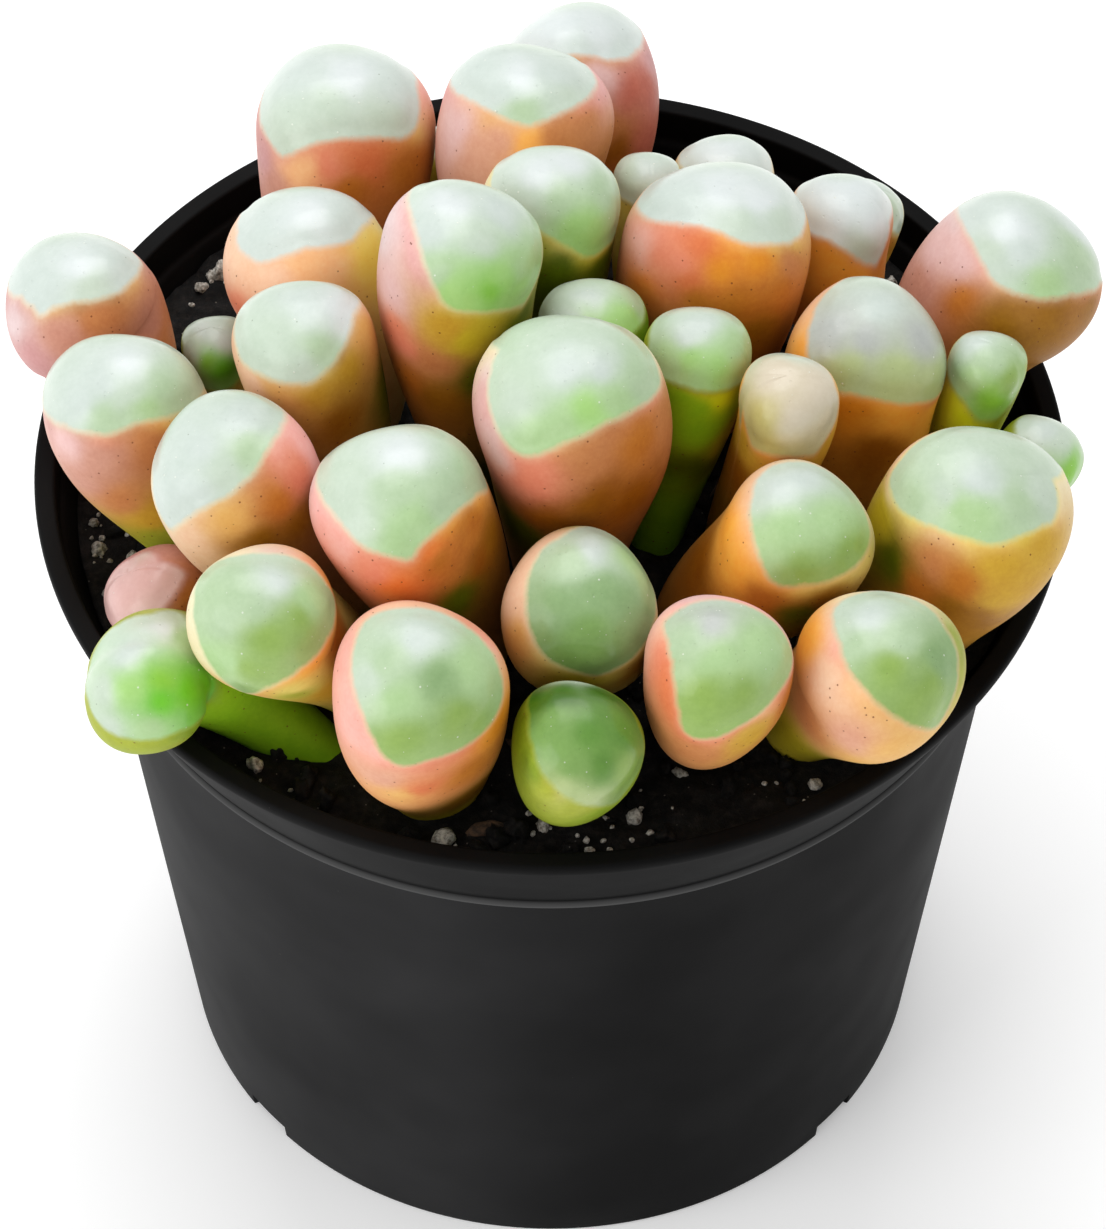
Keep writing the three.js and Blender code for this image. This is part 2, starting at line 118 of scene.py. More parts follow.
SKIN_COLOURS = {
    "blush": linear(222, 198, 197),
    "petal": linear(228, 188, 184),
    "rose": linear(226, 168, 166),
    "mauve": linear(202, 148, 146),
    "dusty": linear(202, 144, 124),
    "rosewood": linear(190, 102, 82),
    "clay": linear(218, 160, 132),
    "pink": linear(250, 186, 180),
    "coral": linear(242, 175, 162),
    "salmon": linear(232, 138, 108),
    "peach": linear(240, 197, 164),
    "honey": linear(246, 176, 86),
    "apricot": linear(244, 190, 136),
    "orange": linear(253, 176, 66),
    "copper": linear(226, 140, 34),
    "rust": linear(222, 118, 72),
    "terracotta": linear(242, 132, 58),
    "sienna": linear(200, 130, 78),
    "umber": linear(196, 118, 40),
    "chestnut": linear(154, 90, 14),
    "tan": linear(232, 180, 102),
    "bronze": linear(206, 162, 50),
    "brown": linear(156, 104, 20),
    "amber": linear(252, 218, 98),
    "gold": linear(246, 226, 126),
    "olive": linear(212, 192, 44),
    "moss": linear(90, 106, 4),
    "citron": linear(232, 248, 30),
    "lime": linear(164, 173, 50),
    "leaf": linear(126, 154, 34),
    "fern": linear(148, 208, 30),
    "grass": linear(120, 172, 44),
    "cream": linear(240, 228, 190),
}

# Windows: the palest colours, cloud and mist, lie where the overhead light's broad reflection falls on the
# crowns, so they are partly the windows' waxy bloom and partly painted reflection
WINDOW_COLOURS = {
    "cloud": linear(216, 223, 222),
    "mist": linear(200, 211, 204),
    "haze": linear(194, 209, 191),
    "celadon": linear(176, 200, 162),
    "sage": linear(173, 205, 148),
    "jade": linear(166, 212, 122),
    "moor": linear(136, 168, 114),
    "green": linear(142, 174, 84),
    "bright": linear(134, 198, 58),
    "vivid": linear(110, 202, 32),
    "deep": linear(122, 160, 84),
    "forest": linear(60, 104, 10),
    "pine": linear(95, 142, 55),
    "frost": linear(180, 184, 180),
    "khaki": linear(180, 196, 136),
    "ivory": linear(214, 202, 180),
    "straw": linear(196, 186, 116),
    "rosy": linear(212, 170, 164),
}


# Leaves: what the photo shows of each

# Places are pixels of the photo, under the name of the colour seen there. window holds those seen in the
# translucent tip, and body those on the skin. edge is the line where the window meets the skin, with the
# colours of the skin along it. Where closed is set, the line goes all round; otherwise it goes on behind the
# head. Where bent is set, the stem turns sharply into the head, and the two are blended.
# The colours named at these places hold the light and shade there as well as the leaves' own colours, so the
# spots paint light on lit sides and shade on shaded sides and low between the leaves.
LEAVES = {
    "leaf_01": {
        "stem": "brown", "rim": "peach",
        "window": {"cloud": [(560, 25), (600, 35)], "mist": [(580, 45), (620, 50)]},
        "edge": {
            "tan": [(530, 50), (560, 56)], "sienna": [(588, 55), (610, 61)], "dusty": [(629, 58)],
            "rose": [(641, 47), (649, 32)],
        },
        "body": {
            "petal": [(600, 78)], "rosewood": [(630, 90), (650, 90), (645, 140)], "mauve": [(650, 60)],
            "sienna": [(610, 130)], "chestnut": [(620, 150)],
        },
    },
    "leaf_02": {
        "stem": "brown", "rim": "peach",
        "window": {
            "mist": [(300, 70), (400, 90)], "cloud": [(350, 75)],
            "haze": [(330, 110), (380, 120), (290, 140)],
        },
        "edge": {
            "mauve": [(262, 125), (272, 142)], "coral": [(283, 158), (416, 88), (410, 66)],
            "salmon": [(298, 150)], "rust": [(320, 142), (345, 137), (380, 137)], "orange": [(402, 138)],
            "gold": [(414, 132)], "peach": [(419, 112)],
        },
        "body": {
            "mauve": [(265, 160)], "dusty": [(275, 185)], "apricot": [(300, 170)], "salmon": [(325, 165)],
            "rust": [(370, 160)], "umber": [(410, 170), (350, 190)],
        },
    },
    "leaf_03": {
        "stem": "brown", "rim": "peach",
        "window": {
            "mist": [(480, 70), (560, 80), (500, 95)], "cloud": [(520, 75)], "haze": [(570, 95)],
            "celadon": [(520, 110)],
        },
        "edge": {
            "rose": [(448, 78), (456, 92), (592, 92), (595, 78), (588, 60)], "peach": [(475, 102)],
            "tan": [(492, 112), (510, 121)], "orange": [(526, 126)], "sienna": [(542, 122), (562, 112)],
            "salmon": [(580, 103)],
        },
        "body": {
            "petal": [(455, 130)], "clay": [(480, 150), (475, 172), (500, 140)], "honey": [(526, 142)],
            "sienna": [(560, 140), (590, 130), (605, 150)],
        },
    },
    "leaf_04": {"stem": "olive", "rim": "cream"},
    "leaf_05": {"stem": "olive", "rim": "cream"},
    "leaf_06": {
        "stem": "olive", "rim": "gold",
        "window": {"mist": [(645, 168)], "haze": [(625, 175), (645, 185)], "cloud": [(655, 195)]},
        "edge": {"lime": [(612, 184)], "gold": [(622, 199), (640, 206)]},
        "body": {"gold": [(620, 205)]},
    },
    "leaf_07": {
        "stem": "olive", "rim": "cream",
        "window": {"cloud": [(725, 150)], "mist": [(740, 170)]},
        "edge": {"tan": [(682, 168), (735, 192)], "cream": [(768, 184)]},
    },
    "leaf_08": {
        "stem": "brown", "rim": "gold",
        "edge": {"umber": [(870, 222), (880, 226), (890, 230)], "bronze": [(900, 236)]},
        "body": {"umber": [(888, 240)], "brown": [(893, 252)], "bronze": [(898, 266)]},
    },
    "leaf_09": {
        "stem": "brown", "rim": "peach",
        "window": {"cloud": [(830, 200), (850, 190), (835, 222), (870, 225)], "haze": [(862, 248)]},
        "edge": {
            "peach": [(795, 214)], "orange": [(803, 228), (812, 235), (830, 240), (848, 252)],
            "rust": [(862, 262)], "umber": [(876, 266)],
        },
        "body": {"orange": [(830, 265), (860, 272)]},
    },
    "leaf_10": {
        "stem": "olive", "rim": "peach",
        "window": {
            "cloud": [(1010, 230)], "mist": [(1020, 250), (975, 215), (1075, 225)], "haze": [(990, 250)],
            "celadon": [(1080, 260)], "sage": [(1045, 282)],
        },
        "edge": {
            "blush": [(955, 203), (962, 222)], "rose": [(972, 243), (982, 260)], "pink": [(990, 276)],
            "tan": [(996, 284)], "brown": [(1012, 291), (1030, 297), (1050, 298), (1070, 293)],
            "sienna": [(1088, 290), (1100, 282)],
        },
        "body": {
            "petal": [(960, 260), (935, 250)], "dusty": [(920, 280)], "umber": [(960, 300)],
            "brown": [(1000, 320), (1050, 330), (1090, 310), (1030, 370)],
        },
    },
    "leaf_11": {
        "stem": "brown", "rim": "cream",
        "window": {"cloud": [(80, 265)], "mist": [(40, 280), (120, 270), (30, 300)], "haze": [(90, 285)]},
        "edge": {
            "mauve": [(8, 285), (22, 296), (141, 262)], "dusty": [(34, 306), (40, 316)],
            "tan": [(52, 307), (133, 279)], "brown": [(72, 301), (100, 298)], "sienna": [(120, 291)],
        },
        "body": {
            "blush": [(15, 320)], "mauve": [(30, 360), (50, 380)], "dusty": [(60, 330), (150, 320)],
            "sienna": [(100, 320), (165, 335)],
        },
    },
    "leaf_12": {
        "stem": "brown", "rim": "peach",
        "window": {"cloud": [(310, 215)], "mist": [(350, 215), (250, 240), (300, 240), (350, 235)]},
        "edge": {
            "peach": [(236, 212), (238, 232), (245, 254), (262, 263)], "apricot": [(282, 256), (305, 248)],
            "orange": [(335, 245)], "gold": [(352, 240), (362, 226)], "cream": [(375, 212)],
        },
        "body": {
            "peach": [(235, 260), (270, 280)], "apricot": [(300, 260), (330, 270)], "amber": [(370, 260)],
            "salmon": [(240, 310)],
        },
    },
    "leaf_13": {
        "stem": "moss", "rim": "cream",
        "window": {
            "cloud": [(450, 205)], "mist": [(430, 230), (500, 210)], "haze": [(480, 240)],
            "celadon": [(440, 280)], "sage": [(520, 270)],
            "jade": [(450, 292), (520, 290), (500, 280), (470, 300)], "bright": [(490, 292)],
        },
        "edge": {
            "blush": [(412, 190)], "rose": [(412, 210), (417, 230), (422, 250), (428, 270)],
            "dusty": [(436, 288)], "tan": [(444, 303)],
            "olive": [(455, 310), (480, 311), (505, 309), (524, 304)], "lime": [(534, 285)],
        },
        "body": {
            "blush": [(385, 230)], "petal": [(390, 290)], "salmon": [(400, 340)], "sienna": [(430, 360)],
            "umber": [(410, 380)], "bronze": [(450, 330)], "brown": [(440, 400)], "olive": [(470, 340)],
            "moss": [(520, 320), (480, 380)],
        },
    },
    "leaf_14": {
        "stem": "moss", "rim": "gold",
        "window": {
            "cloud": [(540, 170), (570, 165)], "haze": [(520, 200)], "celadon": [(560, 200), (600, 190)],
            "jade": [(580, 230), (590, 245)],
        },
        "edge": {
            "cream": [(492, 196), (502, 204)],
            "gold": [(515, 215), (530, 225), (550, 237), (568, 247), (621, 220)],
            "olive": [(582, 256), (592, 257), (604, 249)], "moss": [(614, 238)],
        },
        "body": {"cream": [(495, 205)], "lime": [(530, 240)], "moss": [(545, 280), (560, 270), (600, 270)]},
    },
    "leaf_15": {
        "stem": "brown", "rim": "peach",
        "window": {
            "cloud": [(720, 190), (760, 200)], "mist": [(660, 205), (690, 200)],
            "haze": [(740, 225), (780, 220)],
        },
        "edge": {
            "peach": [(636, 206)], "salmon": [(650, 220), (672, 222), (700, 225)],
            "orange": [(722, 232), (745, 243)], "gold": [(770, 243)], "olive": [(787, 243)],
            "tan": [(799, 236), (805, 220)],
        },
        "body": {
            "coral": [(640, 240)], "salmon": [(665, 260), (680, 260)], "rust": [(700, 250), (690, 280)],
            "terracotta": [(640, 290)], "umber": [(700, 300), (740, 300), (780, 290)],
            "copper": [(720, 270), (760, 260)], "sienna": [(790, 264)], "brown": [(760, 330)],
        },
    },
    "leaf_16": {
        "stem": "leaf", "rim": "lime",
        "window": {
            "mist": [(205, 330), (225, 340)], "haze": [(190, 350)], "bright": [(205, 362)],
            "vivid": [(225, 368)],
        },
        "edge": {"leaf": [(185, 378), (200, 386)], "gold": [(215, 391), (232, 387), (244, 372)]},
    },
    "leaf_17": {
        "stem": "olive", "rim": "cream",
        "window": {
            "cloud": [(340, 310)], "mist": [(310, 305)], "haze": [(270, 340), (300, 365)],
            "celadon": [(320, 350)],
        },
        "edge": {
            "peach": [(243, 362), (353, 315), (357, 296)],
            "tan": [(258, 372), (275, 380), (295, 383), (348, 335)], "gold": [(310, 382), (325, 370)],
            "brown": [(340, 352)],
        },
        "body": {
            "peach": [(250, 378)], "tan": [(280, 395), (365, 330)], "bronze": [(320, 395), (350, 370)],
            "brown": [(340, 420)], "moss": [(385, 380)],
        },
    },
    "leaf_18": {
        "stem": "grass", "rim": "lime",
        "window": {
            "mist": [(590, 300), (570, 325)], "celadon": [(635, 300)], "sage": [(590, 320)],
            "jade": [(612, 328), (630, 325)],
        },
        "edge": {"leaf": [(535, 318), (590, 345), (625, 338)], "grass": [(643, 322)]},
    },
    "leaf_19": {
        "stem": "fern", "rim": "lime",
        "window": {
            "mist": [(700, 325), (690, 335)], "sage": [(670, 360), (740, 350)],
            "jade": [(690, 360), (720, 370)],
        },
        "edge": {
            "lime": [(650, 368), (662, 378), (676, 383), (745, 387), (756, 380), (757, 360)],
            "olive": [(690, 388), (706, 391), (725, 390)],
        },
        "body": {
            "fern": [(680, 400), (700, 412), (700, 430)], "citron": [(720, 400)], "olive": [(730, 430)],
            "moss": [(690, 470)],
        },
    },
    "leaf_20": {
        "stem": "brown", "rim": "apricot",
        "window": {"ivory": [(780, 375), (820, 390), (800, 420)], "straw": [(760, 420), (765, 445)]},
        "edge": {
            "orange": [(744, 408), (740, 430), (752, 446), (768, 453), (815, 454), (832, 444)],
            "rust": [(790, 456)], "tan": [(838, 425)],
        },
        "body": {"bronze": [(745, 445), (830, 455)], "chestnut": [(735, 470)]},
    },
    "leaf_21": {
        "stem": "brown", "rim": "apricot",
        "window": {
            "mist": [(880, 310)], "frost": [(830, 330), (870, 340), (920, 340)],
            "khaki": [(850, 370), (900, 370), (930, 380), (890, 390)],
        },
        "edge": {
            "peach": [(838, 283), (822, 298), (948, 365), (945, 340)], "apricot": [(813, 318)],
            "orange": [(808, 342), (812, 372), (832, 392), (850, 393), (870, 397), (892, 402), (914, 403)],
            "rust": [(932, 400)], "salmon": [(943, 388)],
        },
        "body": {"copper": [(850, 410)], "orange": [(900, 420), (935, 420)], "chestnut": [(880, 450)]},
    },
    "leaf_22": {
        "stem": "olive", "rim": "lime",
        "window": {
            "mist": [(975, 345)], "celadon": [(985, 360)], "sage": [(970, 380)], "bright": [(990, 400)],
            "green": [(1010, 380)],
        },
        "edge": {
            "gold": [(945, 365), (953, 388), (965, 402)], "olive": [(978, 420)],
            "leaf": [(1005, 430), (1018, 400)],
        },
        "body": {"citron": [(955, 395), (965, 415)]},
    },
    "leaf_23": {
        "stem": "olive", "rim": "lime",
        "window": {"mist": [(1045, 430)], "haze": [(1060, 440)], "bright": [(1070, 470)]},
        "edge": {"lime": [(1015, 455)], "leaf": [(1040, 490), (1062, 505), (1080, 480)]},
        "body": {"leaf": [(1070, 490)]},
    },
    "leaf_24": {
        "stem": "lime", "rim": "cream",
        "window": {
            "cloud": [(130, 365)], "mist": [(100, 380), (80, 400)], "haze": [(130, 395)],
            "celadon": [(160, 390), (110, 420)], "sage": [(150, 405)],
        },
        "edge": {
            "mauve": [(50, 418)], "dusty": [(66, 425), (88, 432)], "salmon": [(105, 434)],
            "sienna": [(120, 430), (136, 422)], "orange": [(158, 419)], "gold": [(178, 413), (195, 402)],
            "cream": [(204, 385), (200, 362)],
        },
        "body": {
            "petal": [(65, 440)], "dusty": [(100, 460), (80, 480)], "sienna": [(150, 450), (120, 500)],
            "bronze": [(150, 520)], "lime": [(160, 540)], "citron": [(190, 570)],
        },
    },
    "leaf_25": {
        "stem": "mauve", "rim": "mauve",
        "window": {"rosy": [(115, 560), (120, 600), (150, 575)]},
        "edge": {"mauve": [(100, 575), (130, 560)], "dusty": [(160, 562)], "sienna": [(185, 575)]},
        "body": {"mauve": [(117, 580), (110, 620)], "dusty": [(150, 570)], "umber": [(180, 590)]},
    },
    "leaf_26": {
        "stem": "olive", "rim": "cream",
        "window": {
            "mist": [(240, 420), (200, 450), (190, 490), (180, 510)], "haze": [(220, 470)],
            "celadon": [(250, 450)],
        },
        "edge": {
            "cream": [(170, 530)], "peach": [(180, 524), (196, 511)], "tan": [(212, 503), (228, 496)],
            "sienna": [(242, 483), (256, 469)], "salmon": [(264, 454)],
            "pink": [(272, 440), (281, 424), (283, 410)], "blush": [(276, 398)],
        },
        "body": {
            "peach": [(185, 535)], "tan": [(230, 520)], "umber": [(280, 500)], "salmon": [(300, 470)],
            "pink": [(310, 450), (325, 445)], "brown": [(260, 540), (300, 520)],
        },
    },
    "leaf_27": {
        "stem": "brown", "rim": "cream",
        "window": {
            "mist": [(570, 370), (600, 370)], "haze": [(520, 400)], "celadon": [(640, 380)],
            "sage": [(620, 400), (560, 430), (540, 440)], "jade": [(590, 410)],
        },
        "edge": {
            "cream": [(500, 350), (655, 362)], "blush": [(492, 370)],
            "rose": [(489, 395), (494, 418), (503, 438)],
            "salmon": [(514, 451), (530, 456), (546, 451), (641, 405), (655, 394)], "tan": [(566, 441)],
            "sienna": [(590, 431), (606, 421), (624, 415)], "peach": [(661, 382)],
        },
        "body": {
            "petal": [(490, 440)], "salmon": [(530, 480)], "sienna": [(590, 460), (665, 420)],
            "umber": [(640, 440)], "chestnut": [(600, 500), (550, 520), (630, 500)], "moss": [(520, 530)],
        },
    },
    "leaf_28": {
        "stem": "olive", "rim": "cream",
        "window": {
            "cloud": [(400, 455)], "haze": [(350, 490), (360, 520)],
            "celadon": [(400, 490), (440, 500), (470, 480)], "sage": [(420, 520), (400, 540)],
        },
        "edge": {
            "blush": [(317, 478)], "pink": [(320, 494), (330, 508), (343, 523), (356, 539)],
            "salmon": [(366, 548), (385, 553), (400, 558), (411, 560)], "rust": [(417, 549)],
            "orange": [(424, 539), (437, 529), (450, 516), (465, 504), (479, 493), (488, 487)],
            "cream": [(485, 472)],
        },
        "body": {
            "coral": [(340, 540)], "salmon": [(370, 570)], "terracotta": [(400, 590), (430, 550)],
            "umber": [(440, 560), (470, 530)], "chestnut": [(480, 560)], "brown": [(490, 540)],
            "moss": [(460, 600)],
        },
    },
    "leaf_29": {
        "stem": "olive", "rim": "cream", "closed": True,
        "window": {
            "mist": [(280, 585)], "celadon": [(240, 600), (220, 620)], "sage": [(310, 600), (225, 660)],
            "green": [(300, 620), (270, 640), (250, 670)],
        },
        "edge": {
            "cream": [(215, 563), (200, 578), (194, 602), (199, 638), (213, 668), (238, 556)],
            "tan": [(232, 688), (246, 693), (262, 688)],
            "orange": [(282, 680), (300, 667), (316, 654), (327, 638), (334, 600), (326, 585)],
            "gold": [(334, 618)], "salmon": [(314, 570)], "peach": [(298, 560)], "blush": [(268, 554)],
        },
        "body": {
            "gold": [(340, 600), (300, 690)], "umber": [(338, 640)], "tan": [(250, 700)],
            "lime": [(300, 705)], "bronze": [(330, 690)],
        },
    },
    "leaf_30": {
        "stem": "fern", "rim": "lime", "closed": True, "bent": True,
        "window": {
            "cloud": [(160, 628)], "mist": [(130, 650)], "haze": [(105, 690), (110, 725)],
            "sage": [(185, 640), (150, 730)], "jade": [(130, 690)], "bright": [(160, 680)],
            "vivid": [(160, 705), (190, 690), (205, 680)],
        },
        "edge": {
            "lime": [(88, 698), (94, 716), (106, 730), (129, 739), (156, 739), (150, 596), (115, 612),
                (84, 645), (74, 675)], "leaf": [(179, 730), (202, 716), (214, 700), (190, 627)],
            "grass": [(215, 682), (209, 662), (200, 644)], "cream": [(177, 611)],
        },
        "body": {
            "fern": [(225, 690), (240, 705)], "moss": [(300, 725), (300, 750)], "lime": [(180, 750)],
            "leaf": [(240, 750)],
        },
    },
    "leaf_31": {
        "stem": "olive", "rim": "cream", "closed": True,
        "window": {
            "mist": [(595, 550)], "celadon": [(570, 560)], "sage": [(630, 560)],
            "moor": [(600, 590), (560, 610), (620, 600)], "deep": [(570, 650), (590, 640)],
        },
        "edge": {
            "peach": [(560, 538), (542, 550), (531, 572), (527, 600), (528, 620), (534, 637)],
            "gold": [(542, 652), (555, 663), (575, 671), (597, 675), (620, 666), (639, 650), (650, 630)],
            "cream": [(655, 605), (652, 580), (641, 552)], "lime": [(620, 533), (590, 527)],
        },
        "body": {"peach": [(512, 595)], "tan": [(520, 640)], "olive": [(580, 680)], "brown": [(640, 665)]},
    },
    "leaf_32": {
        "stem": "lime", "rim": "peach", "closed": True,
        "window": {
            "mist": [(420, 640)], "haze": [(370, 680)], "celadon": [(390, 660)],
            "sage": [(470, 670), (400, 700)], "moor": [(440, 680)], "green": [(400, 740), (460, 720)],
        },
        "edge": {
            "peach": [(400, 609), (385, 611), (366, 621), (497, 665), (440, 613)],
            "coral": [(356, 640), (352, 665), (355, 690), (365, 715), (375, 740), (386, 758), (485, 645)],
            "salmon": [(400, 765), (413, 764), (430, 758), (451, 752), (465, 626)], "rust": [(471, 742)],
            "orange": [(486, 728), (498, 711), (503, 690)],
        },
        "body": {
            "coral": [(345, 650), (350, 720)], "clay": [(380, 780)], "rust": [(420, 790)],
            "umber": [(470, 770)], "copper": [(500, 720)], "tan": [(400, 820)], "olive": [(440, 825)],
            "brown": [(470, 795)],
        },
    },
    "leaf_33": {
        "stem": "leaf", "rim": "lime",
        "window": {
            "forest": [(535, 700), (560, 695), (600, 692), (630, 700)],
            "deep": [(555, 722), (555, 745), (575, 770)], "khaki": [(562, 790), (588, 800)],
            "pine": [(590, 730), (625, 735), (600, 765)], "green": [(628, 772)],
        },
        "edge": {
            "moss": [(533, 690), (530, 715), (533, 745)], "lime": [(540, 768), (590, 806), (615, 803)],
            "tan": [(553, 785)], "cream": [(568, 797)], "leaf": [(633, 788), (641, 765)],
        },
        "body": {
            "moss": [(520, 698), (514, 720), (516, 745), (524, 762)], "leaf": [(533, 768), (610, 810)],
            "lime": [(546, 788), (575, 807)],
        },
    },
    "leaf_34": {
        "stem": "lime", "rim": "peach", "closed": True,
        "window": {
            "frost": [(710, 625)], "celadon": [(690, 640)], "sage": [(720, 660), (760, 650)],
            "green": [(710, 700), (740, 700), (700, 720)],
        },
        "edge": {
            "pink": [(682, 609), (770, 620), (750, 608), (725, 601), (700, 602)], "peach": [(664, 623)],
            "salmon": [(669, 642), (696, 738), (716, 737), (736, 727), (779, 690), (789, 675)],
            "rust": [(673, 662), (677, 690), (680, 712), (684, 731)], "apricot": [(760, 712)],
            "blush": [(792, 655), (785, 638)],
        },
        "body": {
            "petal": [(700, 598)], "sienna": [(690, 750)], "bronze": [(750, 735)], "umber": [(790, 690)],
        },
    },
    "leaf_35": {
        "stem": "moss", "rim": "peach", "closed": True,
        "window": {
            "mist": [(800, 480), (780, 490)], "sage": [(830, 520), (790, 530), (770, 550)],
            "green": [(800, 570), (850, 550)],
        },
        "edge": {
            "peach": [(770, 467), (758, 478), (752, 495)], "apricot": [(751, 520), (757, 545)],
            "orange": [(763, 565), (771, 580), (783, 586)],
            "gold": [(802, 584), (830, 580), (850, 570), (863, 558)], "lime": [(870, 540)],
            "cream": [(866, 515), (850, 490), (825, 470), (800, 462)],
        },
        "body": {
            "orange": [(725, 530), (735, 570)], "umber": [(760, 600)], "brown": [(830, 600)],
            "moss": [(800, 615)], "chestnut": [(700, 560)],
        },
    },
    "leaf_36": {
        "stem": "lime", "rim": "peach", "closed": True,
        "window": {
            "mist": [(870, 620)], "celadon": [(860, 640), (900, 640)], "moor": [(940, 660)],
            "green": [(890, 670), (930, 690), (920, 710)],
        },
        "edge": {
            "cream": [(850, 597), (915, 600), (880, 590)], "peach": [(835, 608), (834, 625)],
            "coral": [(840, 643)], "salmon": [(846, 662)], "apricot": [(856, 680), (868, 692)],
            "tan": [(882, 706), (900, 718), (920, 727), (936, 728)], "lime": [(952, 700), (957, 670)],
            "leaf": [(945, 630)],
        },
        "body": {
            "orange": [(805, 640)], "peach": [(830, 680)], "sienna": [(810, 720)], "clay": [(850, 740)],
            "olive": [(790, 740)], "tan": [(900, 750), (860, 765)],
        },
    },
    "leaf_37": {
        "stem": "bronze", "rim": "gold",
        "window": {
            "mist": [(980, 480)], "haze": [(940, 490), (1040, 490)], "celadon": [(920, 500), (1020, 500)],
            "sage": [(960, 510), (980, 520)],
        },
        "edge": {
            "peach": [(900, 462), (890, 478), (932, 526)], "cream": [(892, 495), (1058, 504), (1052, 480)],
            "gold": [(901, 511), (916, 520), (975, 540)], "apricot": [(952, 534)],
            "tan": [(990, 545), (1006, 542), (1040, 526), (1054, 520)], "olive": [(1021, 535)],
        },
        "body": {
            "olive": [(880, 520)], "moss": [(892, 560)], "sienna": [(932, 568)],
            "umber": [(960, 588), (920, 590)], "bronze": [(1000, 570), (1045, 545), (1000, 600)],
            "brown": [(950, 610), (980, 620)],
        },
    },
}


def listed(look, part):
    """The pixels that a leaf's look gives for a part, and the name of each one's colour."""
    pairs = [(pixel, name) for name, pixels in look.get(part, {}).items() for pixel in pixels]
    return [pixel for pixel, _ in pairs], [name for _, name in pairs]


# Leaves: the smooth form of a CAD leaf, made finer

LEAF_SIDES = 12
BODY_STATIONS = (0, 0.25, 0.5, 0.72, 0.88, 1)
STEM_SHARE = 0.46
STEM_SWELL = 1.1
KEEL_COUNT = 3
KEEL_DEPTH = 0.045
DOME_HEIGHT = 0.86
DOME_FULLNESS = 2.25
FOOT_ROUNDING = 0.15
TURN_START = 0.9
LENGTH_POINTS = 21
SAME_POINT = 0.0005 * MM

FINE_SIDES = 96
FINE_BODY_RINGS = 40
FINE_DOME_RINGS = 36
RING_CROWDING = 1.5


def unit(vector):
    return vector / np.linalg.norm(vector)


def leaf_rings(node):
    """The CAD leaf's rings of points from foot to tip, and the tip's own point."""
    shape = bmesh.new()
    shape.from_mesh(node.data)
    bmesh.ops.remove_doubles(shape, verts=shape.verts, dist=SAME_POINT)
    ends = [vertex for vertex in shape.verts if len(vertex.link_edges) == LEAF_SIDES]
    foot, tip = sorted(ends, key=lambda vertex: vertex.co.z)
    rings = []
    seen = {foot}
    ring = [foot]
    while tip not in ring:
        beyond = {edge.other_vert(vertex) for vertex in ring for edge in vertex.link_edges} - seen
        seen |= beyond
        ring = sorted(beyond, key=lambda vertex: vertex.index)
        rings.append(np.array([vertex.co[:] for vertex in ring]))
    top = np.array(tip.co[:])
    shape.free()
    return rings[:-1], top


class LeafForm:
    """A leaf's stem curve, head and keel, taken from its CAD node."""

    def __init__(self, node):
        rings, top = leaf_rings(node)
        body = rings[:len(BODY_STATIONS)]
        centres = np.array([ring.mean(axis=0) for ring in body])
        self.curve = np.polyfit(BODY_STATIONS, centres, 3)
        self.head = centres[-1]
        reaches = np.linalg.norm(body[-1] - self.head, axis=1)
        self.radius = reaches.max()
        self.tip = unit(top - self.head)
        across = unit(body[-1][reaches.argmax()] - self.head)
        level = across - self.tip * across[2] / self.tip[2]
        self.keel = unit(level * (1, 1, 0))
        stem = self.points(np.linspace(0, 1, LENGTH_POINTS))
        self.length = np.linalg.norm(np.diff(stem, axis=0), axis=1).sum()

    def points(self, t):
        powers = np.stack([t ** 3, t ** 2, t, np.ones_like(t)], axis=-1)
        return powers @ self.curve

    def directions(self, t):
        slopes = np.stack([3 * t ** 2, 2 * t, np.ones_like(t)], axis=-1) @ self.curve[:3]
        slopes /= np.linalg.norm(slopes, axis=-1, keepdims=True)
        share = np.clip((t - TURN_START) / (1 - TURN_START), 0, 1)[:, None]
        mixed = slopes * (1 - share) + self.tip * share
        return mixed / np.linalg.norm(mixed, axis=-1, keepdims=True)

    def girths(self, t):
        return self.radius * (STEM_SHARE + (1 - STEM_SHARE) * np.sin(t * math.pi / 2) ** STEM_SWELL)


def smoothstep(low, high, value):
    share = np.clip((value - low) / (high - low), 0, 1)
    return share * share * (3 - 2 * share)


def grid_faces(ring_count, side_count):
    """Faces of a closed body of rings, with an end point before the first ring and one after the last."""
    def at(ring, side):
        return 1 + ring * side_count + side % side_count

    last = 1 + ring_count * side_count
    faces = [(0, at(0, side + 1), at(0, side)) for side in range(side_count)]
    for ring in range(ring_count - 1):
        faces += [
            (at(ring, side), at(ring, side + 1), at(ring + 1, side + 1), at(ring + 1, side))
            for side in range(side_count)
        ]
    faces += [(at(ring_count - 1, side), at(ring_count - 1, side + 1), last) for side in range(side_count)]
    return faces


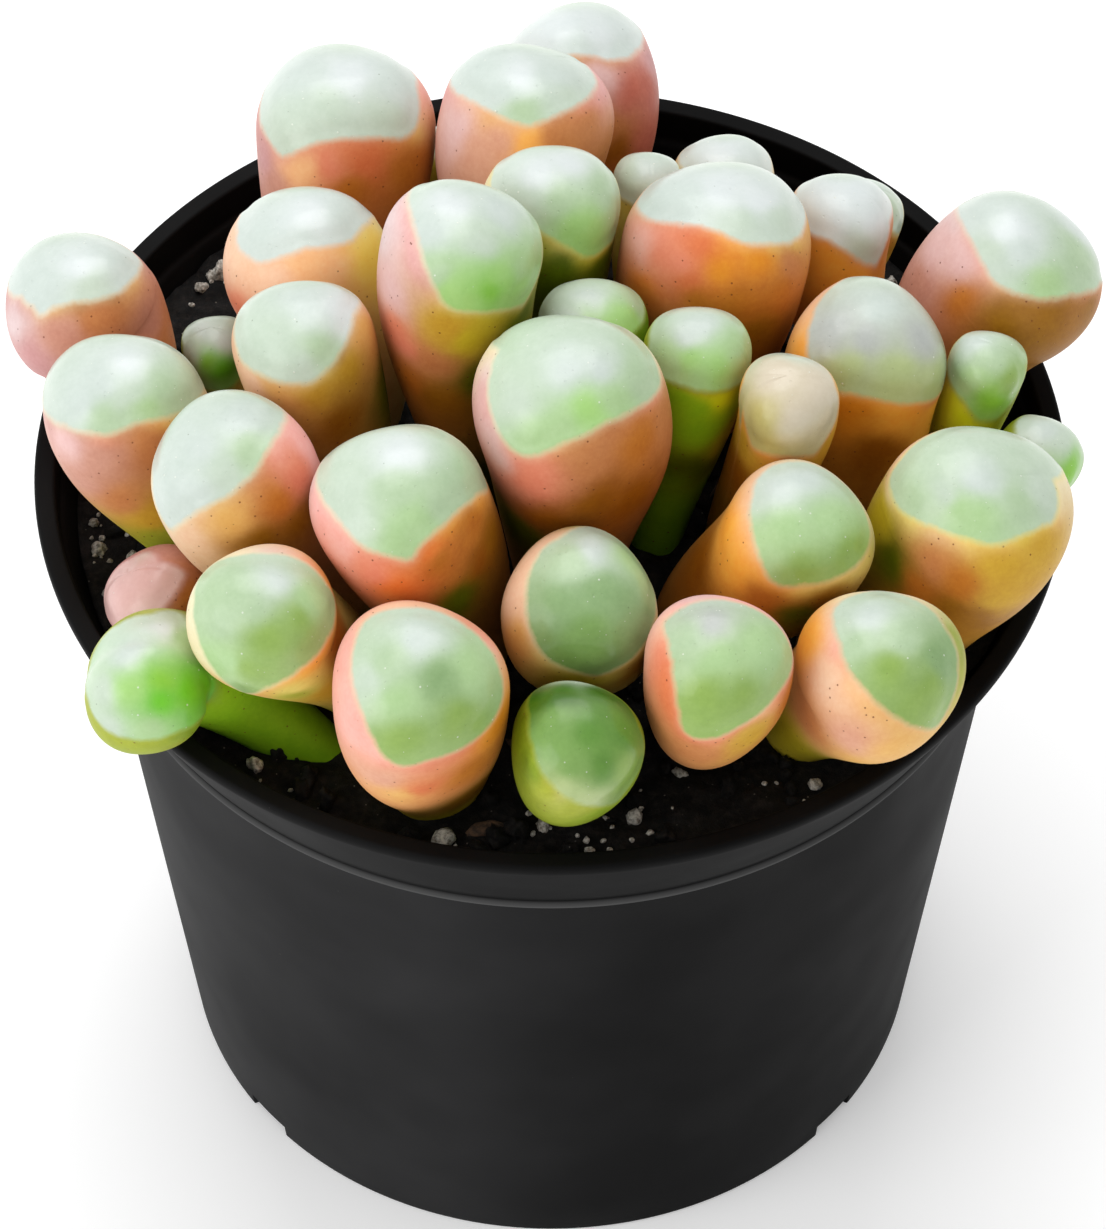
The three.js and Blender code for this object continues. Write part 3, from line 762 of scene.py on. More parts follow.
def fine_leaf(form):
    """Points of the fine leaf, and how far below its head each is along the stem."""
    t = 1 - np.linspace(1, 0, FINE_BODY_RINGS) ** RING_CROWDING
    rise = np.linspace(0, 1, FINE_DOME_RINGS + 2)[1:-1] * math.pi / 2
    heights = DOME_HEIGHT * form.radius * np.sin(rise) ** (2 / DOME_FULLNESS)
    centres = np.concatenate([form.points(t), form.head + np.outer(heights, form.tip)])
    directions = np.concatenate([form.directions(t), np.tile(form.tip, (len(rise), 1))])
    girths = np.concatenate([form.girths(t), form.radius * np.cos(rise) ** (2 / DOME_FULLNESS)])
    across = form.keel - directions * (directions @ form.keel)[:, None]
    across /= np.linalg.norm(across, axis=1, keepdims=True)
    side = np.cross(directions, across)
    angles = np.linspace(0, math.tau, FINE_SIDES, endpoint=False)
    reach = girths[:, None] * (1 - KEEL_DEPTH + KEEL_DEPTH * np.cos(KEEL_COUNT * angles))
    rings = (
        centres[:, None]
        + (reach * np.cos(angles))[..., None] * across[:, None]
        + (reach * np.sin(angles))[..., None] * side[:, None]
    )
    foot = centres[0] - directions[0] * FOOT_ROUNDING * girths[0]
    top = form.head + form.tip * DOME_HEIGHT * form.radius
    points = np.vstack([foot, rings.reshape(-1, 3), top])
    depths = np.repeat(np.maximum(1 - t, 0) * form.length, FINE_SIDES)
    below = np.concatenate([[form.length], depths, np.zeros(len(rise) * FINE_SIDES + 1)])
    return points, below


BLEND_VOXEL = 0.18 * MM
BLEND_PASSES = 50
BLEND_SHRINKAGE = 0.12 * MM


def evaluated_mesh(body):
    """A mesh of the object with its modifiers applied."""
    graph = bpy.context.evaluated_depsgraph_get()
    return bpy.data.meshes.new_from_object(body.evaluated_get(graph))


def blended(points, faces, below):
    """A leaf as one smooth skin, for a stem that turns so sharply that its rings cross before the head."""
    mesh = bpy.data.meshes.new("blend")
    mesh.from_pydata(points.tolist(), [], faces)
    body = add_to_scene("blend", mesh)
    remesh = body.modifiers.new("one_skin", "REMESH")
    remesh.mode = "VOXEL"
    remesh.voxel_size = BLEND_VOXEL
    smooth = body.modifiers.new("smooth", "SMOOTH")
    smooth.iterations = BLEND_PASSES
    done = evaluated_mesh(body)
    bpy.data.objects.remove(body)
    new_points = np.array([vertex.co + vertex.normal * BLEND_SHRINKAGE for vertex in done.vertices])
    new_faces = [tuple(face.vertices) for face in done.polygons]
    tree = KDTree(len(points))
    for index, point in enumerate(points):
        tree.insert(point, index)
    tree.balance()
    new_below = np.array([below[tree.find(point)[1]] for point in new_points])
    return new_points, new_faces, new_below


# Leaves: the window on each tip

BACK_REACH = math.radians(64)
WIDE_GAP = math.radians(80)
GAP_STEP = math.radians(25)
UNSEEN_AZIMUTHS = (0.5, 3.5)
UNSEEN_SKINS = ("lime", "tan")
EDGE_SAMPLES = 360
EDGE_SMOOTHING = 5
STEEPEST = 0.2


def seen_places(tree, form, pixels):
    """The points of the leaf that the camera sees at the pixels, or its nearest points where it sees none."""
    places = []
    for x, y in pixels:
        ray = pixel_ray(x, y)
        hit = tree.ray_cast(CAMERA_PLACE, ray)[0]
        if hit is None:
            passing = CAMERA_PLACE + ray * (Vector(form.head) - CAMERA_PLACE).dot(ray)
            hit = tree.find_nearest(passing)[0]
        places.append(hit[:])
    return np.array(places).reshape(-1, 3)


class WindowEdge:
    """The closed line round a leaf's window, as an angle from the window's axis for each azimuth round it."""

    def __init__(self, form, tree, look):
        pixels, names = listed(look, "edge")
        closed = look.get("closed", False)
        offsets = seen_places(tree, form, pixels) - form.head
        seen = offsets / np.linalg.norm(offsets, axis=1, keepdims=True)
        self.axis = unit(seen.mean(axis=0)) if closed else form.tip
        self.across = unit(form.keel - self.axis * (form.keel @ self.axis))
        self.side = np.cross(self.axis, self.across)
        if pixels:
            angles, azimuths = self.measure(seen)
        else:
            names = UNSEEN_SKINS
            azimuths = np.array(UNSEEN_AZIMUTHS)
            angles = np.full(len(azimuths), BACK_REACH)
        order = np.argsort(azimuths)
        line = azimuths[order], angles[order], np.array([SKIN_COLOURS[name] for name in names])[order]
        azimuths, angles, skins = line if closed else self.go_round_behind(*line)
        self.grid = np.linspace(0, math.tau, EDGE_SAMPLES, endpoint=False)
        self.angles = self.smooth(np.interp(self.grid, azimuths, angles, period=math.tau))
        self.skins = [
            self.smooth(np.interp(self.grid, azimuths, channel, period=math.tau)) for channel in skins.T
        ]

    def measure(self, directions):
        """Angle from the axis, and azimuth round it from 0 to a full turn."""
        angles = np.arccos(np.clip(directions @ self.axis, -1, 1))
        azimuths = np.arctan2(directions @ self.side, directions @ self.across) % math.tau
        return angles, azimuths

    def go_round_behind(self, azimuths, angles, skins):
        """The line with points added where the photo shows none, on a circle round the leaf's own tip."""
        gaps = np.diff(np.append(azimuths, azimuths[0] + math.tau))
        first = int(gaps.argmax())
        if gaps[first] < WIDE_GAP:
            return azimuths, angles, skins
        steps = int(gaps[first] / GAP_STEP)
        shares = (np.arange(steps) + 1) / (steps + 1)
        following = (first + 1) % len(azimuths)
        behind = (azimuths[first] + shares * gaps[first]) % math.tau
        behind_skins = skins[first] + shares[:, None] * (skins[following] - skins[first])
        azimuths = np.append(azimuths, behind)
        angles = np.append(angles, np.full(steps, BACK_REACH))
        skins = np.vstack([skins, behind_skins])
        order = np.argsort(azimuths)
        return azimuths[order], angles[order], skins[order]

    def smooth(self, values):
        padded = np.concatenate([values[-EDGE_SMOOTHING:], values, values[:EDGE_SMOOTHING]])
        weights = np.hanning(2 * EDGE_SMOOTHING + 3)[1:-1]
        return np.convolve(padded, weights / weights.sum(), mode="valid")

    def at(self, values, azimuths):
        """Values given along the grid, at other azimuths."""
        return np.interp(azimuths, self.grid, values, period=math.tau)

    def distance(self, form, points):
        """How far inside the window each point is, in metres along the surface; below zero on the skin."""
        offsets = points - form.head
        away = np.linalg.norm(offsets, axis=1)
        angles, azimuths = self.measure(offsets / away[:, None])
        edge = self.at(self.angles, azimuths)
        slope = self.at(np.gradient(self.angles, self.grid), azimuths)
        steepness = np.sqrt(1 + (slope / np.maximum(np.sin(edge), STEEPEST)) ** 2)
        return (edge - angles) * np.minimum(away, form.radius) / steepness

    def ring(self, form, azimuths):
        """Places on the line, for azimuths round the window's axis."""
        angles = self.at(self.angles, azimuths)[:, None]
        outward = np.cos(azimuths)[:, None] * self.across + np.sin(azimuths)[:, None] * self.side
        return form.head + form.radius * (np.cos(angles) * self.axis + np.sin(angles) * outward)

    def skin(self, azimuths):
        """The skin's colours beside the line, for azimuths round the window's axis."""
        return np.stack([self.at(channel, azimuths) for channel in self.skins], axis=-1)


# Leaves: colour and relief

BACK_SIDE = unit(np.array([0, 0.8, 0.6]))
CROWN_SHARE = 0.55
RING_POINTS = 48
SPREAD = 0.5 * MM
SHARPNESS = 1.6
EDGE_POINT_SHARE = 0.06
WANDER = 0.45 * MM
WANDER_SIZE = 1.8 * MM
STEM_FADE = (2.3, 3.6)
STEM_WANDER = 0.3
STEM_PAINTED_SHADE = 0.7
RIM_REACH = 0.8 * MM
RIM_SHARE = 0.22
RIDGE_HEIGHT = 0.05 * MM
RIDGE_WIDTH = 0.30 * MM
WINDOW_SINK = 0.05 * MM
UNEVENNESS = 0.012
UNEVEN_SIZE = 1.1
NOISE_STEPS = (13.7, 7.3, 3.1)


def mix(first, second, share):
    return first + (second - first) * share[:, None]


def noise_at(points, size, seed):
    """Smooth noise from -1 to 1 at each point, with bumps about as wide as size."""
    shift = Vector([seed * step for step in NOISE_STEPS])
    return np.array([noise.noise(Vector(point) / size + shift) for point in points])


def blend_colours(points, places, colours, shares):
    """At each point, a soft mix of the colours; near places and those with large shares count most."""
    away = ((points[:, None] - places[None]) ** 2).sum(axis=2) + SPREAD ** 2
    weights = shares * away ** -SHARPNESS
    weights /= weights.sum(axis=1, keepdims=True)
    return weights @ colours


def window_controls(tree, form, look):
    """Places and colours for the window: what the photo shows, and a hazy back that it doesn't show."""
    back = form.head + form.radius * BACK_SIDE
    if "window" in look:
        pixels, names = listed(look, "window")
        places = np.vstack([back, seen_places(tree, form, pixels)])
    else:
        # Without spots: a pale top and a greener front, partly waxy bloom and partly painted reflection of
        # the overhead light
        names = ("mist", "celadon")
        top = form.head + form.radius * form.tip
        front = form.head + form.radius * unit(form.tip - BACK_SIDE * CROWN_SHARE)
        places = np.array([back, top, front])
    colours = np.array([WINDOW_COLOURS[name] for name in ("haze", *names)])
    return places, colours, np.ones(len(places))


def skin_controls(tree, form, edge, look):
    """Places and colours for the skin: points round the window's edge, and spots on the body."""
    azimuths = np.linspace(0, math.tau, RING_POINTS, endpoint=False)
    pixels, names = listed(look, "body")
    places = np.vstack([edge.ring(form, azimuths), seen_places(tree, form, pixels)])
    spots = np.array([SKIN_COLOURS[name] for name in names]).reshape(-1, 3)
    shares = np.append(np.full(RING_POINTS, EDGE_POINT_SHARE), np.ones(len(names)))
    return places, np.vstack([edge.skin(azimuths), spots]), shares


def leaf_colours(form, tree, edge, look, points, inside, below):
    """The colour of skin, rim and window at each point, with painted shade darkening the stems."""
    shifts = np.stack([noise_at(points, WANDER_SIZE, seed) for seed in (1, 2, 3)], axis=-1)
    wandering = points + WANDER * shifts
    window = blend_colours(wandering, *window_controls(tree, form, look))
    skin = blend_colours(wandering, *skin_controls(tree, form, edge, look))
    # Painted shade: the stem colour is darkened low on the leaf, where the crowded leaves shade one another
    stem = STEM_PAINTED_SHADE * np.tile(SKIN_COLOURS[look["stem"]], (len(points), 1))
    skin = mix(skin, stem, smoothstep(*STEM_FADE, below / form.radius + STEM_WANDER * shifts[:, 0]))
    rim = np.tile(SKIN_COLOURS[look["rim"]], (len(points), 1))
    skin = mix(skin, rim, RIM_SHARE * smoothstep(-RIM_REACH, 0, inside))
    return skin, rim, window


def relief(form, points, inside):
    """How far each point stands out: a ridge at the window's edge, a dip inside it, and slight bumps."""
    ridge = RIDGE_HEIGHT * np.exp(-(inside / RIDGE_WIDTH) ** 2)
    sink = WINDOW_SINK * np.exp(-((inside - 2 * RIDGE_WIDTH) / (2 * RIDGE_WIDTH)) ** 2)
    swell = UNEVENNESS * form.radius * noise_at(points, UNEVEN_SIZE * form.radius, 3)
    return ridge - sink + swell


def vertex_normals(points, faces):
    mesh = bpy.data.meshes.new("measure")
    mesh.from_pydata(points.tolist(), [], faces)
    normals = np.zeros(len(points) * 3)
    mesh.vertex_normals.foreach_get("vector", normals)
    bpy.data.meshes.remove(mesh)
    return normals.reshape(-1, 3)


def add_colour(mesh, name, colours):
    layer = mesh.attributes.new(name, "FLOAT_COLOR", "POINT")
    values = np.hstack([colours, np.ones((len(colours), 1))])
    layer.data.foreach_set("color", values.ravel())


def add_number(mesh, name, values):
    layer = mesh.attributes.new(name, "FLOAT", "POINT")
    layer.data.foreach_set("value", values.ravel())


def new_piece(name, points, faces, material):
    mesh = bpy.data.meshes.new(name)
    mesh.from_pydata([tuple(point) for point in points], [], faces)
    mesh.shade_smooth()
    mesh.materials.append(material)
    return add_to_scene(name, mesh)


def add_leaf(name, look, material):
    form = LeafForm(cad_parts[name])
    points, below = fine_leaf(form)
    faces = grid_faces(FINE_BODY_RINGS + FINE_DOME_RINGS, FINE_SIDES)
    if look.get("bent", False):
        points, faces, below = blended(points, faces, below)
    tree = BVHTree.FromPolygons([tuple(point) for point in points], faces)
    edge = WindowEdge(form, tree, look)
    inside = edge.distance(form, points)
    skin, rim, window = leaf_colours(form, tree, edge, look, points, inside, below)
    points = points + vertex_normals(points, faces) * relief(form, points, inside)[:, None]

    piece = new_piece("fine_" + name, points, faces, material)
    add_colour(piece.data, "skin", skin)
    add_colour(piece.data, "rim", rim)
    add_colour(piece.data, "window", window)
    add_number(piece.data, "inside", inside / MM)
    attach(piece, "root")
    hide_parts(name)


# Materials

DOT_CORE = 0.45


class Shader:
    """A material's nodes, built line by line."""

    def __init__(self, name):
        self.material = bpy.data.materials.new(name)
        self.material.use_nodes = True
        self.tree = self.material.node_tree
        self.surface = self.tree.nodes["Principled BSDF"]

    def node(self, kind, inputs=(), **settings):
        """A new node with these settings. The inputs are values or sockets, by name or number."""
        made = self.tree.nodes.new(kind)
        for key, value in settings.items():
            setattr(made, key, value)
        for key, value in dict(inputs).items():
            self.put(made.inputs[key], value)
        return made

    def put(self, socket, value):
        if isinstance(value, bpy.types.NodeSocket):
            self.tree.links.new(value, socket)
        elif isinstance(value, (tuple, list)) and socket.type == "RGBA":
            socket.default_value = (*value[:3], 1)
        else:
            socket.default_value = value

    def set(self, **inputs):
        """Sets or links inputs of the surface; underscores in a name stand for spaces."""
        for key, value in inputs.items():
            self.put(self.surface.inputs[key.replace("_", " ")], value)

    def maths(self, operation, *values, clamp=False):
        made = self.node("ShaderNodeMath", enumerate(values), operation=operation, use_clamp=clamp)
        return made.outputs[0]

    def ramp(self, value, low, high, to_low=0.0, to_high=1.0):
        """A smooth step of value, from to_low at low up to to_high at high."""
        inputs = enumerate((value, low, high, to_low, to_high))
        made = self.node("ShaderNodeMapRange", inputs, interpolation_type="SMOOTHSTEP", clamp=True)
        return made.outputs[0]

    def mix(self, share, first, second, blend="MIX"):
        inputs = {"Factor": share, "A": first, "B": second}
        return self.node("ShaderNodeMix", inputs, data_type="RGBA", blend_type=blend).outputs["Result"]

    def mottle(self, share, colour, pattern):
        """The colour made a little lighter and darker by the pattern."""
        return self.mix(share, colour, pattern, "SOFT_LIGHT")

    def tint(self, mask, share, colour, other):
        """The colour with a share of the other one laid over it where the mask is 1."""
        return self.mix(self.maths("MULTIPLY", mask, share), colour, other)

    def place(self):
        return self.node("ShaderNodeTexCoord").outputs["Object"]

    def across_and_up(self):
        """How far right of the pot's axis and how high each place is, in metres."""
        across, _, up = self.node("ShaderNodeSeparateXYZ", {0: self.place()}).outputs
        return across, up

    def noise(self, size, detail=2.0, roughness=0.5):
        """Noise from 0 to 1 with features about as wide as size, in metres."""
        inputs = {"Vector": self.place(), "Scale": 1 / size, "Detail": detail, "Roughness": roughness}
        return self.node("ShaderNodeTexNoise", inputs).outputs["Fac"]

    def dots(self, size, share, radius):
        """1 in small round dots: one in each cell of this size whose random number is under share."""
        cells = self.node("ShaderNodeTexVoronoi", {"Vector": self.place(), "Scale": 1 / size})
        chance = self.node("ShaderNodeSeparateColor", {0: cells.outputs["Color"]}).outputs[0]
        spot = self.ramp(cells.outputs["Distance"], radius, radius * DOT_CORE)
        return self.maths("MULTIPLY", spot, self.maths("LESS_THAN", chance, share))

    def attribute(self, name, output="Color"):
        return self.node("ShaderNodeAttribute", attribute_name=name).outputs[output]

    def bump(self, height, distance, strength, under=None):
        """A bumpy normal, on top of another one if it is given."""
        inputs = {"Height": height, "Distance": distance, "Strength": strength}
        if under is not None:
            inputs["Normal"] = under
        return self.node("ShaderNodeBump", inputs).outputs["Normal"]


# Leaf flesh. Distances from the window's edge are in millimetres, inside it above zero, as in the attribute.
EDGE_WOBBLES = ((1.1 * MM, 3, 0.15), (0.28 * MM, 2, 0.08))
WINDOW_FADE = (-0.34, 0.26)
GLOSS_FADE = (-0.3, 0.3)
LINE_RISE = (-0.40, -0.10)
LINE_FALL = (0.20, 0.0)
SKIN_MOTTLE = (1.4 * MM, 5, 0.62)
FINE_MOTTLE = (0.30 * MM, 2, 0.6)
WINDOW_MOTTLE = (1.1 * MM, 3, 0.55)
FLESH_GRAIN = (0.24 * MM, 3, 0.6)
PITS = (0.42 * MM, 0.20, 0.20)
SPECKS = (0.9 * MM, 0.14, 0.08)
LARGE_FROST = (0.7 * MM, 0.20, 0.12)
SMALL_FROST = (0.36 * MM, 0.14, 0.13)
PIT_COLOUR = linear(110, 52, 24)
SPECK_COLOUR = linear(84, 104, 62)
FROST_COLOUR = linear(240, 244, 232)
GRAIN_DEPTH = 0.018 * MM
PIT_DEPTH = 0.03 * MM


def leaf_material():
    shader = Shader("leaf_flesh")
    wobbles = [
        shader.maths("MULTIPLY_ADD", shader.noise(size, detail), 2 * reach, -reach)
        for size, detail, reach in EDGE_WOBBLES
    ]
    inside = shader.maths("ADD", shader.attribute("inside", "Fac"), shader.maths("ADD", *wobbles))
    in_window = shader.ramp(inside, *WINDOW_FADE)
    line = shader.maths("MULTIPLY", shader.ramp(inside, *LINE_RISE), shader.ramp(inside, *LINE_FALL))

    fine_mottle = shader.noise(*FINE_MOTTLE)
    skin = shader.mottle(0.30, shader.attribute("skin"), shader.noise(*SKIN_MOTTLE))
    skin = shader.mottle(0.20, skin, fine_mottle)
    pits = shader.dots(*PITS)
    skin = shader.tint(pits, 0.75, skin, PIT_COLOUR)

    window = shader.mottle(0.20, shader.attribute("window"), shader.noise(*WINDOW_MOTTLE))
    window = shader.mottle(0.12, window, fine_mottle)
    frost = shader.maths("ADD", shader.dots(*LARGE_FROST), shader.dots(*SMALL_FROST), clamp=True)
    window = shader.tint(frost, 0.55, window, FROST_COLOUR)
    window = shader.tint(shader.dots(*SPECKS), 0.45, window, SPECK_COLOUR)

    colour = shader.mix(in_window, skin, window)
    colour = shader.tint(line, 0.20, colour, shader.attribute("rim"))

    grain = shader.bump(shader.noise(*FLESH_GRAIN), GRAIN_DEPTH, 0.5)
    dents = shader.maths("SUBTRACT", frost, shader.maths("MULTIPLY", pits, 1.2))
    shader.set(
        Base_Color=colour,
        Roughness=shader.ramp(inside, *GLOSS_FADE, 0.50, 0.34),
        Normal=shader.bump(dents, PIT_DEPTH, 0.6, grain),
        Coat_Weight=shader.ramp(inside, *GLOSS_FADE, 0.03, 0.42),
        Coat_Roughness=0.19,
        Specular_IOR_Level=0.22,
        IOR=1.40,
    )
    return shader.material


# Pot plastic: painted light makes it grey on the left, and it falls to near black on the right, where painted
# shade lies. The collar is darker, over a painted highlight along the step.
PAINTED_LIGHT_SPAN = (-13 * MM, 10 * MM)
PAINTED_LIGHT_GREY = linear(46, 46, 47)
PAINTED_SHADE_BLACK = linear(9, 9, 10)
CLOUDY_PLASTIC = linear(17, 17, 18)
COLLAR_PLASTIC = linear(6, 6, 6)
PAINTED_STEP_HIGHLIGHT = linear(84, 84, 84)
DUST_COLOUR = linear(110, 108, 104)
COLLAR_START = (40.3 * MM, 41.0 * MM)
STEP_HIGHLIGHT_RISE = (40.15 * MM, 40.35 * MM)
STEP_HIGHLIGHT_FALL = (40.85 * MM, 40.6 * MM)
DUST = (1.3 * MM, 0.05, 0.05)
CLOUDS = (14 * MM, 3, 0.5)
SHEEN = (9 * MM, 2)
PLASTIC_GRAIN = (0.25 * MM, 2, 0.5)
PLASTIC_GRAIN_DEPTH = 0.010 * MM


def pot_material():
    shader = Shader("pot_plastic")
    across, up = shader.across_and_up()
    # Painted light and shade: lighter on the left, where the light falls, and near black on the right
    tone = shader.mix(shader.ramp(across, *PAINTED_LIGHT_SPAN), PAINTED_LIGHT_GREY, PAINTED_SHADE_BLACK)
    tone = shader.mottle(shader.noise(*CLOUDS), tone, CLOUDY_PLASTIC)
    tone = shader.mix(shader.ramp(up, *COLLAR_START, 0, 0.8), tone, COLLAR_PLASTIC)
    # Painted highlight: a thin pale line along the step below the collar, where its edge would catch the
    # light
    step_highlight = shader.maths("MULTIPLY", shader.ramp(up, *STEP_HIGHLIGHT_RISE), shader.ramp(up, *STEP_HIGHLIGHT_FALL))
    tone = shader.tint(step_highlight, 0.7, tone, PAINTED_STEP_HIGHLIGHT)
    tone = shader.tint(shader.dots(*DUST), 0.25, tone, DUST_COLOUR)
    shader.set(
        Base_Color=tone,
        Roughness=shader.ramp(shader.noise(*SHEEN), 0.3, 0.7, 0.60, 0.68),
        Normal=shader.bump(shader.noise(*PLASTIC_GRAIN), PLASTIC_GRAIN_DEPTH, 0.5),
        Specular_IOR_Level=0.08,
    )
    return shader.material


# Potting mix: near black and crumbly, with brown fibrous patches and pale grains
CRUMB_PATTERN = (0.6 * MM, 6, 0.75)
CRUMB_SPAN = (0.42, 0.72)
DARK_MIX = linear(4, 4, 4)
LIGHT_MIX = linear(36, 32, 29)
FIBRE_PATTERN = (2.4 * MM, 3, 0.6)
FIBRE_SPAN = (0.60, 0.78)
FIBRE_COLOUR = linear(60, 49, 38)
PALE_GRAINS = (0.36 * MM, 0.07, 0.2)
PALE_GRAIN_COLOUR = linear(132, 126, 118)
DAMP_PATTERN = (1.5 * MM, 2)
MIX_GRAIN = (0.3 * MM, 5, 0.75)
MIX_GRAIN_DEPTH = 0.14 * MM


def soil_material():
    shader = Shader("potting_mix")
    tone = shader.mix(shader.ramp(shader.noise(*CRUMB_PATTERN), *CRUMB_SPAN), DARK_MIX, LIGHT_MIX)
    tone = shader.mix(shader.ramp(shader.noise(*FIBRE_PATTERN), *FIBRE_SPAN, 0, 0.3), tone, FIBRE_COLOUR)
    tone = shader.tint(shader.dots(*PALE_GRAINS), 0.7, tone, PALE_GRAIN_COLOUR)
    shader.set(
        Base_Color=tone,
        Roughness=shader.ramp(shader.noise(*DAMP_PATTERN), 0.3, 0.7, 0.60, 0.95),
        Normal=shader.bump(shader.noise(*MIX_GRAIN), MIX_GRAIN_DEPTH, 0.9),
        Specular_IOR_Level=0.25,
    )
    return shader.material


def grain_material(name, pattern, span, dark, light, depth):
    """A rough, matt material that one noise pattern colours and pits."""
    shader = Shader(name)
    pores = shader.noise(*pattern)
    shader.set(
        Base_Color=shader.mix(shader.ramp(pores, *span), dark, light),
        Roughness=0.85,
        Normal=shader.bump(pores, depth, 0.9),
    )
    return shader.material


def perlite_material():
    pores = (0.3 * MM, 4, 0.6)
    return grain_material(
        "perlite", pores, (0.35, 0.65), linear(120, 114, 104), linear(214, 210, 200), 0.15 * MM
    )


def bark_material():
    pores = (0.5 * MM, 4, 0.65)
    return grain_material("bark", pores, (0.3, 0.7), linear(28, 20, 14), linear(92, 68, 48), 0.12 * MM)


def floor_material():
    shader = Shader("pale_floor")
    shader.set(
        Base_Color=shader.mix(shader.noise(60 * MM, 3, 0.5), linear(246, 246, 246), linear(250, 250, 250)),
        Roughness=0.8,
        Specular_IOR_Level=0.2,
        Emission_Color=(1, 1, 1),
        Emission_Strength=0.20,
    )
    return shader.material


# Pot

POT_SIDES = 288
FOOT_RADIUS = 23.55
FOOT_RING_WIDTH = 1.85
BASE_LIFT = 1.0
BASE_THICKNESS = 0.9
STEP_HEIGHT = 40.1
COLLAR_TOP = 48.3
COLLAR_RADIUS = 31.95
NOTCH_CENTRE = 23.6 * MM
NOTCH_AZIMUTHS = (39, -39, 219, 141)
NOTCH_SIZE = (6 * MM, 3.4 * MM, 2.4 * MM)
DRAIN_RADIUS = 2.4 * MM
DRAIN_DEPTH = 3.6 * MM
DRAIN_SIDES = 48
DRAIN_CIRCLE = 13 * MM
DRAIN_HEIGHT = 1.45 * MM
DRAIN_COUNT = 5
SHARP_ANGLE = math.radians(32)
CORNER_STEPS = 5
WALL_STEP = 3.0

# The pot's wall from the middle of its underside round to the middle of its floor: radius, height and how
# far the corner there is rounded, in millimetres
POT_PROFILE = [
    (0, BASE_LIFT, 0),
    (FOOT_RADIUS - FOOT_RING_WIDTH, BASE_LIFT, 0.3),
    (FOOT_RADIUS - FOOT_RING_WIDTH, 0, 0.25),
    (FOOT_RADIUS, 0, 0.3),
    (28.4, STEP_HEIGHT, 0.14),
    (28.75, STEP_HEIGHT + 0.25, 0.12),
    (28.75, STEP_HEIGHT + 0.45, 0.08),
    (28.52, STEP_HEIGHT + 0.7, 0.1),
    (COLLAR_RADIUS, COLLAR_TOP - 0.6, 0.26),
    (COLLAR_RADIUS - 0.05, COLLAR_TOP, 0.3),
    (COLLAR_RADIUS - 1.3, COLLAR_TOP, 0.25),
    (30.5, 46.0, 0.2),
    (30.1, 45.8, 0.2),
    (27.35, STEP_HEIGHT + 0.5, 0.3),
    (22.7, BASE_LIFT + BASE_THICKNESS, 0.7),
    (0, BASE_LIFT + BASE_THICKNESS, 0),
]


def rounded_profile(corners):
    """The profile's points, with an arc at each corner and the long walls cut into steps."""
    points = []
    places = [Vector((radius, height)) for radius, height, _ in corners]
    for index, (_, _, rounding) in enumerate(corners):
        here = places[index]
        if rounding == 0:
            points.append(here)
            continue
        start = here + (places[index - 1] - here).normalized() * rounding
        end = here + (places[index + 1] - here).normalized() * rounding
        for step in range(CORNER_STEPS + 1):
            share = step / CORNER_STEPS
            points.append(start.lerp(here, share).lerp(here.lerp(end, share), share))
    stepped = [points[0]]
    for point in points[1:]:
        last = stepped[-1]
        pieces = max(1, round((point - last).length / WALL_STEP))
        stepped += [last.lerp(point, (piece + 1) / pieces) for piece in range(pieces)]
    return stepped


def circle(radius, sides, height):
    """Points of a level circle round the pot's axis."""
    angles = [math.tau * side / sides for side in range(sides)]
    return [(radius * math.cos(angle), radius * math.sin(angle), height) for angle in angles]


def turned(name, profile, sides, material):
    """A closed body turned round the pot's axis from a profile that starts and ends on the axis."""
    points = [(0, 0, profile[0][1] * MM)]
    for radius, height in profile[1:-1]:
        points += circle(radius * MM, sides, height * MM)
    points.append((0, 0, profile[-1][1] * MM))
    return new_piece(name, points, grid_faces(len(profile) - 2, sides), material)


def cutter(name, build, matrix, **sizes):
    """An object to cut with: a bmesh form of the given sizes, moved by the matrix."""
    shape = bmesh.new()
    build(shape, **sizes)
    shape.transform(matrix)
    mesh = bpy.data.meshes.new(name)
    shape.to_mesh(mesh)
    shape.free()
    return add_to_scene(name, mesh)


def cut(piece, tools):
    """Takes each tool's volume out of the piece, and removes the tools."""
    for tool in tools:
        modifier = piece.modifiers.new("cut", "BOOLEAN")
        modifier.object = tool
        modifier.operation = "DIFFERENCE"
        modifier.solver = "EXACT"
    done = evaluated_mesh(piece)
    piece.modifiers.clear()
    piece.data = done
    for tool in tools:
        bpy.data.objects.remove(tool)


def notches():
    size = Matrix.Diagonal((*NOTCH_SIZE, 1))
    for azimuth in NOTCH_AZIMUTHS:
        turn = Matrix.Rotation(math.radians(azimuth), 4, "Z")
        place = turn @ Matrix.Translation((NOTCH_CENTRE, 0, 0))
        yield cutter("notch", bmesh.ops.create_cube, place @ size, size=1)


def drains():
    hole = {"segments": DRAIN_SIDES, "radius1": DRAIN_RADIUS, "radius2": DRAIN_RADIUS, "depth": DRAIN_DEPTH}
    for index in range(DRAIN_COUNT):
        angle = math.radians(90 + 360 * index / DRAIN_COUNT)
        place = Vector((math.cos(angle), math.sin(angle), 0)) * DRAIN_CIRCLE
        place.z = DRAIN_HEIGHT
        yield cutter("drill", bmesh.ops.create_cone, Matrix.Translation(place), cap_ends=True, **hole)


def add_pot(material):
    pot = turned("nursery_pot", rounded_profile(POT_PROFILE), POT_SIDES, material)
    cut(pot, [*notches(), *drains()])
    pot.data.shade_smooth()
    pot.data.set_sharp_from_angle(angle=SHARP_ANGLE)
    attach(pot, "root")
    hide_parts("pot")


# Potting mix

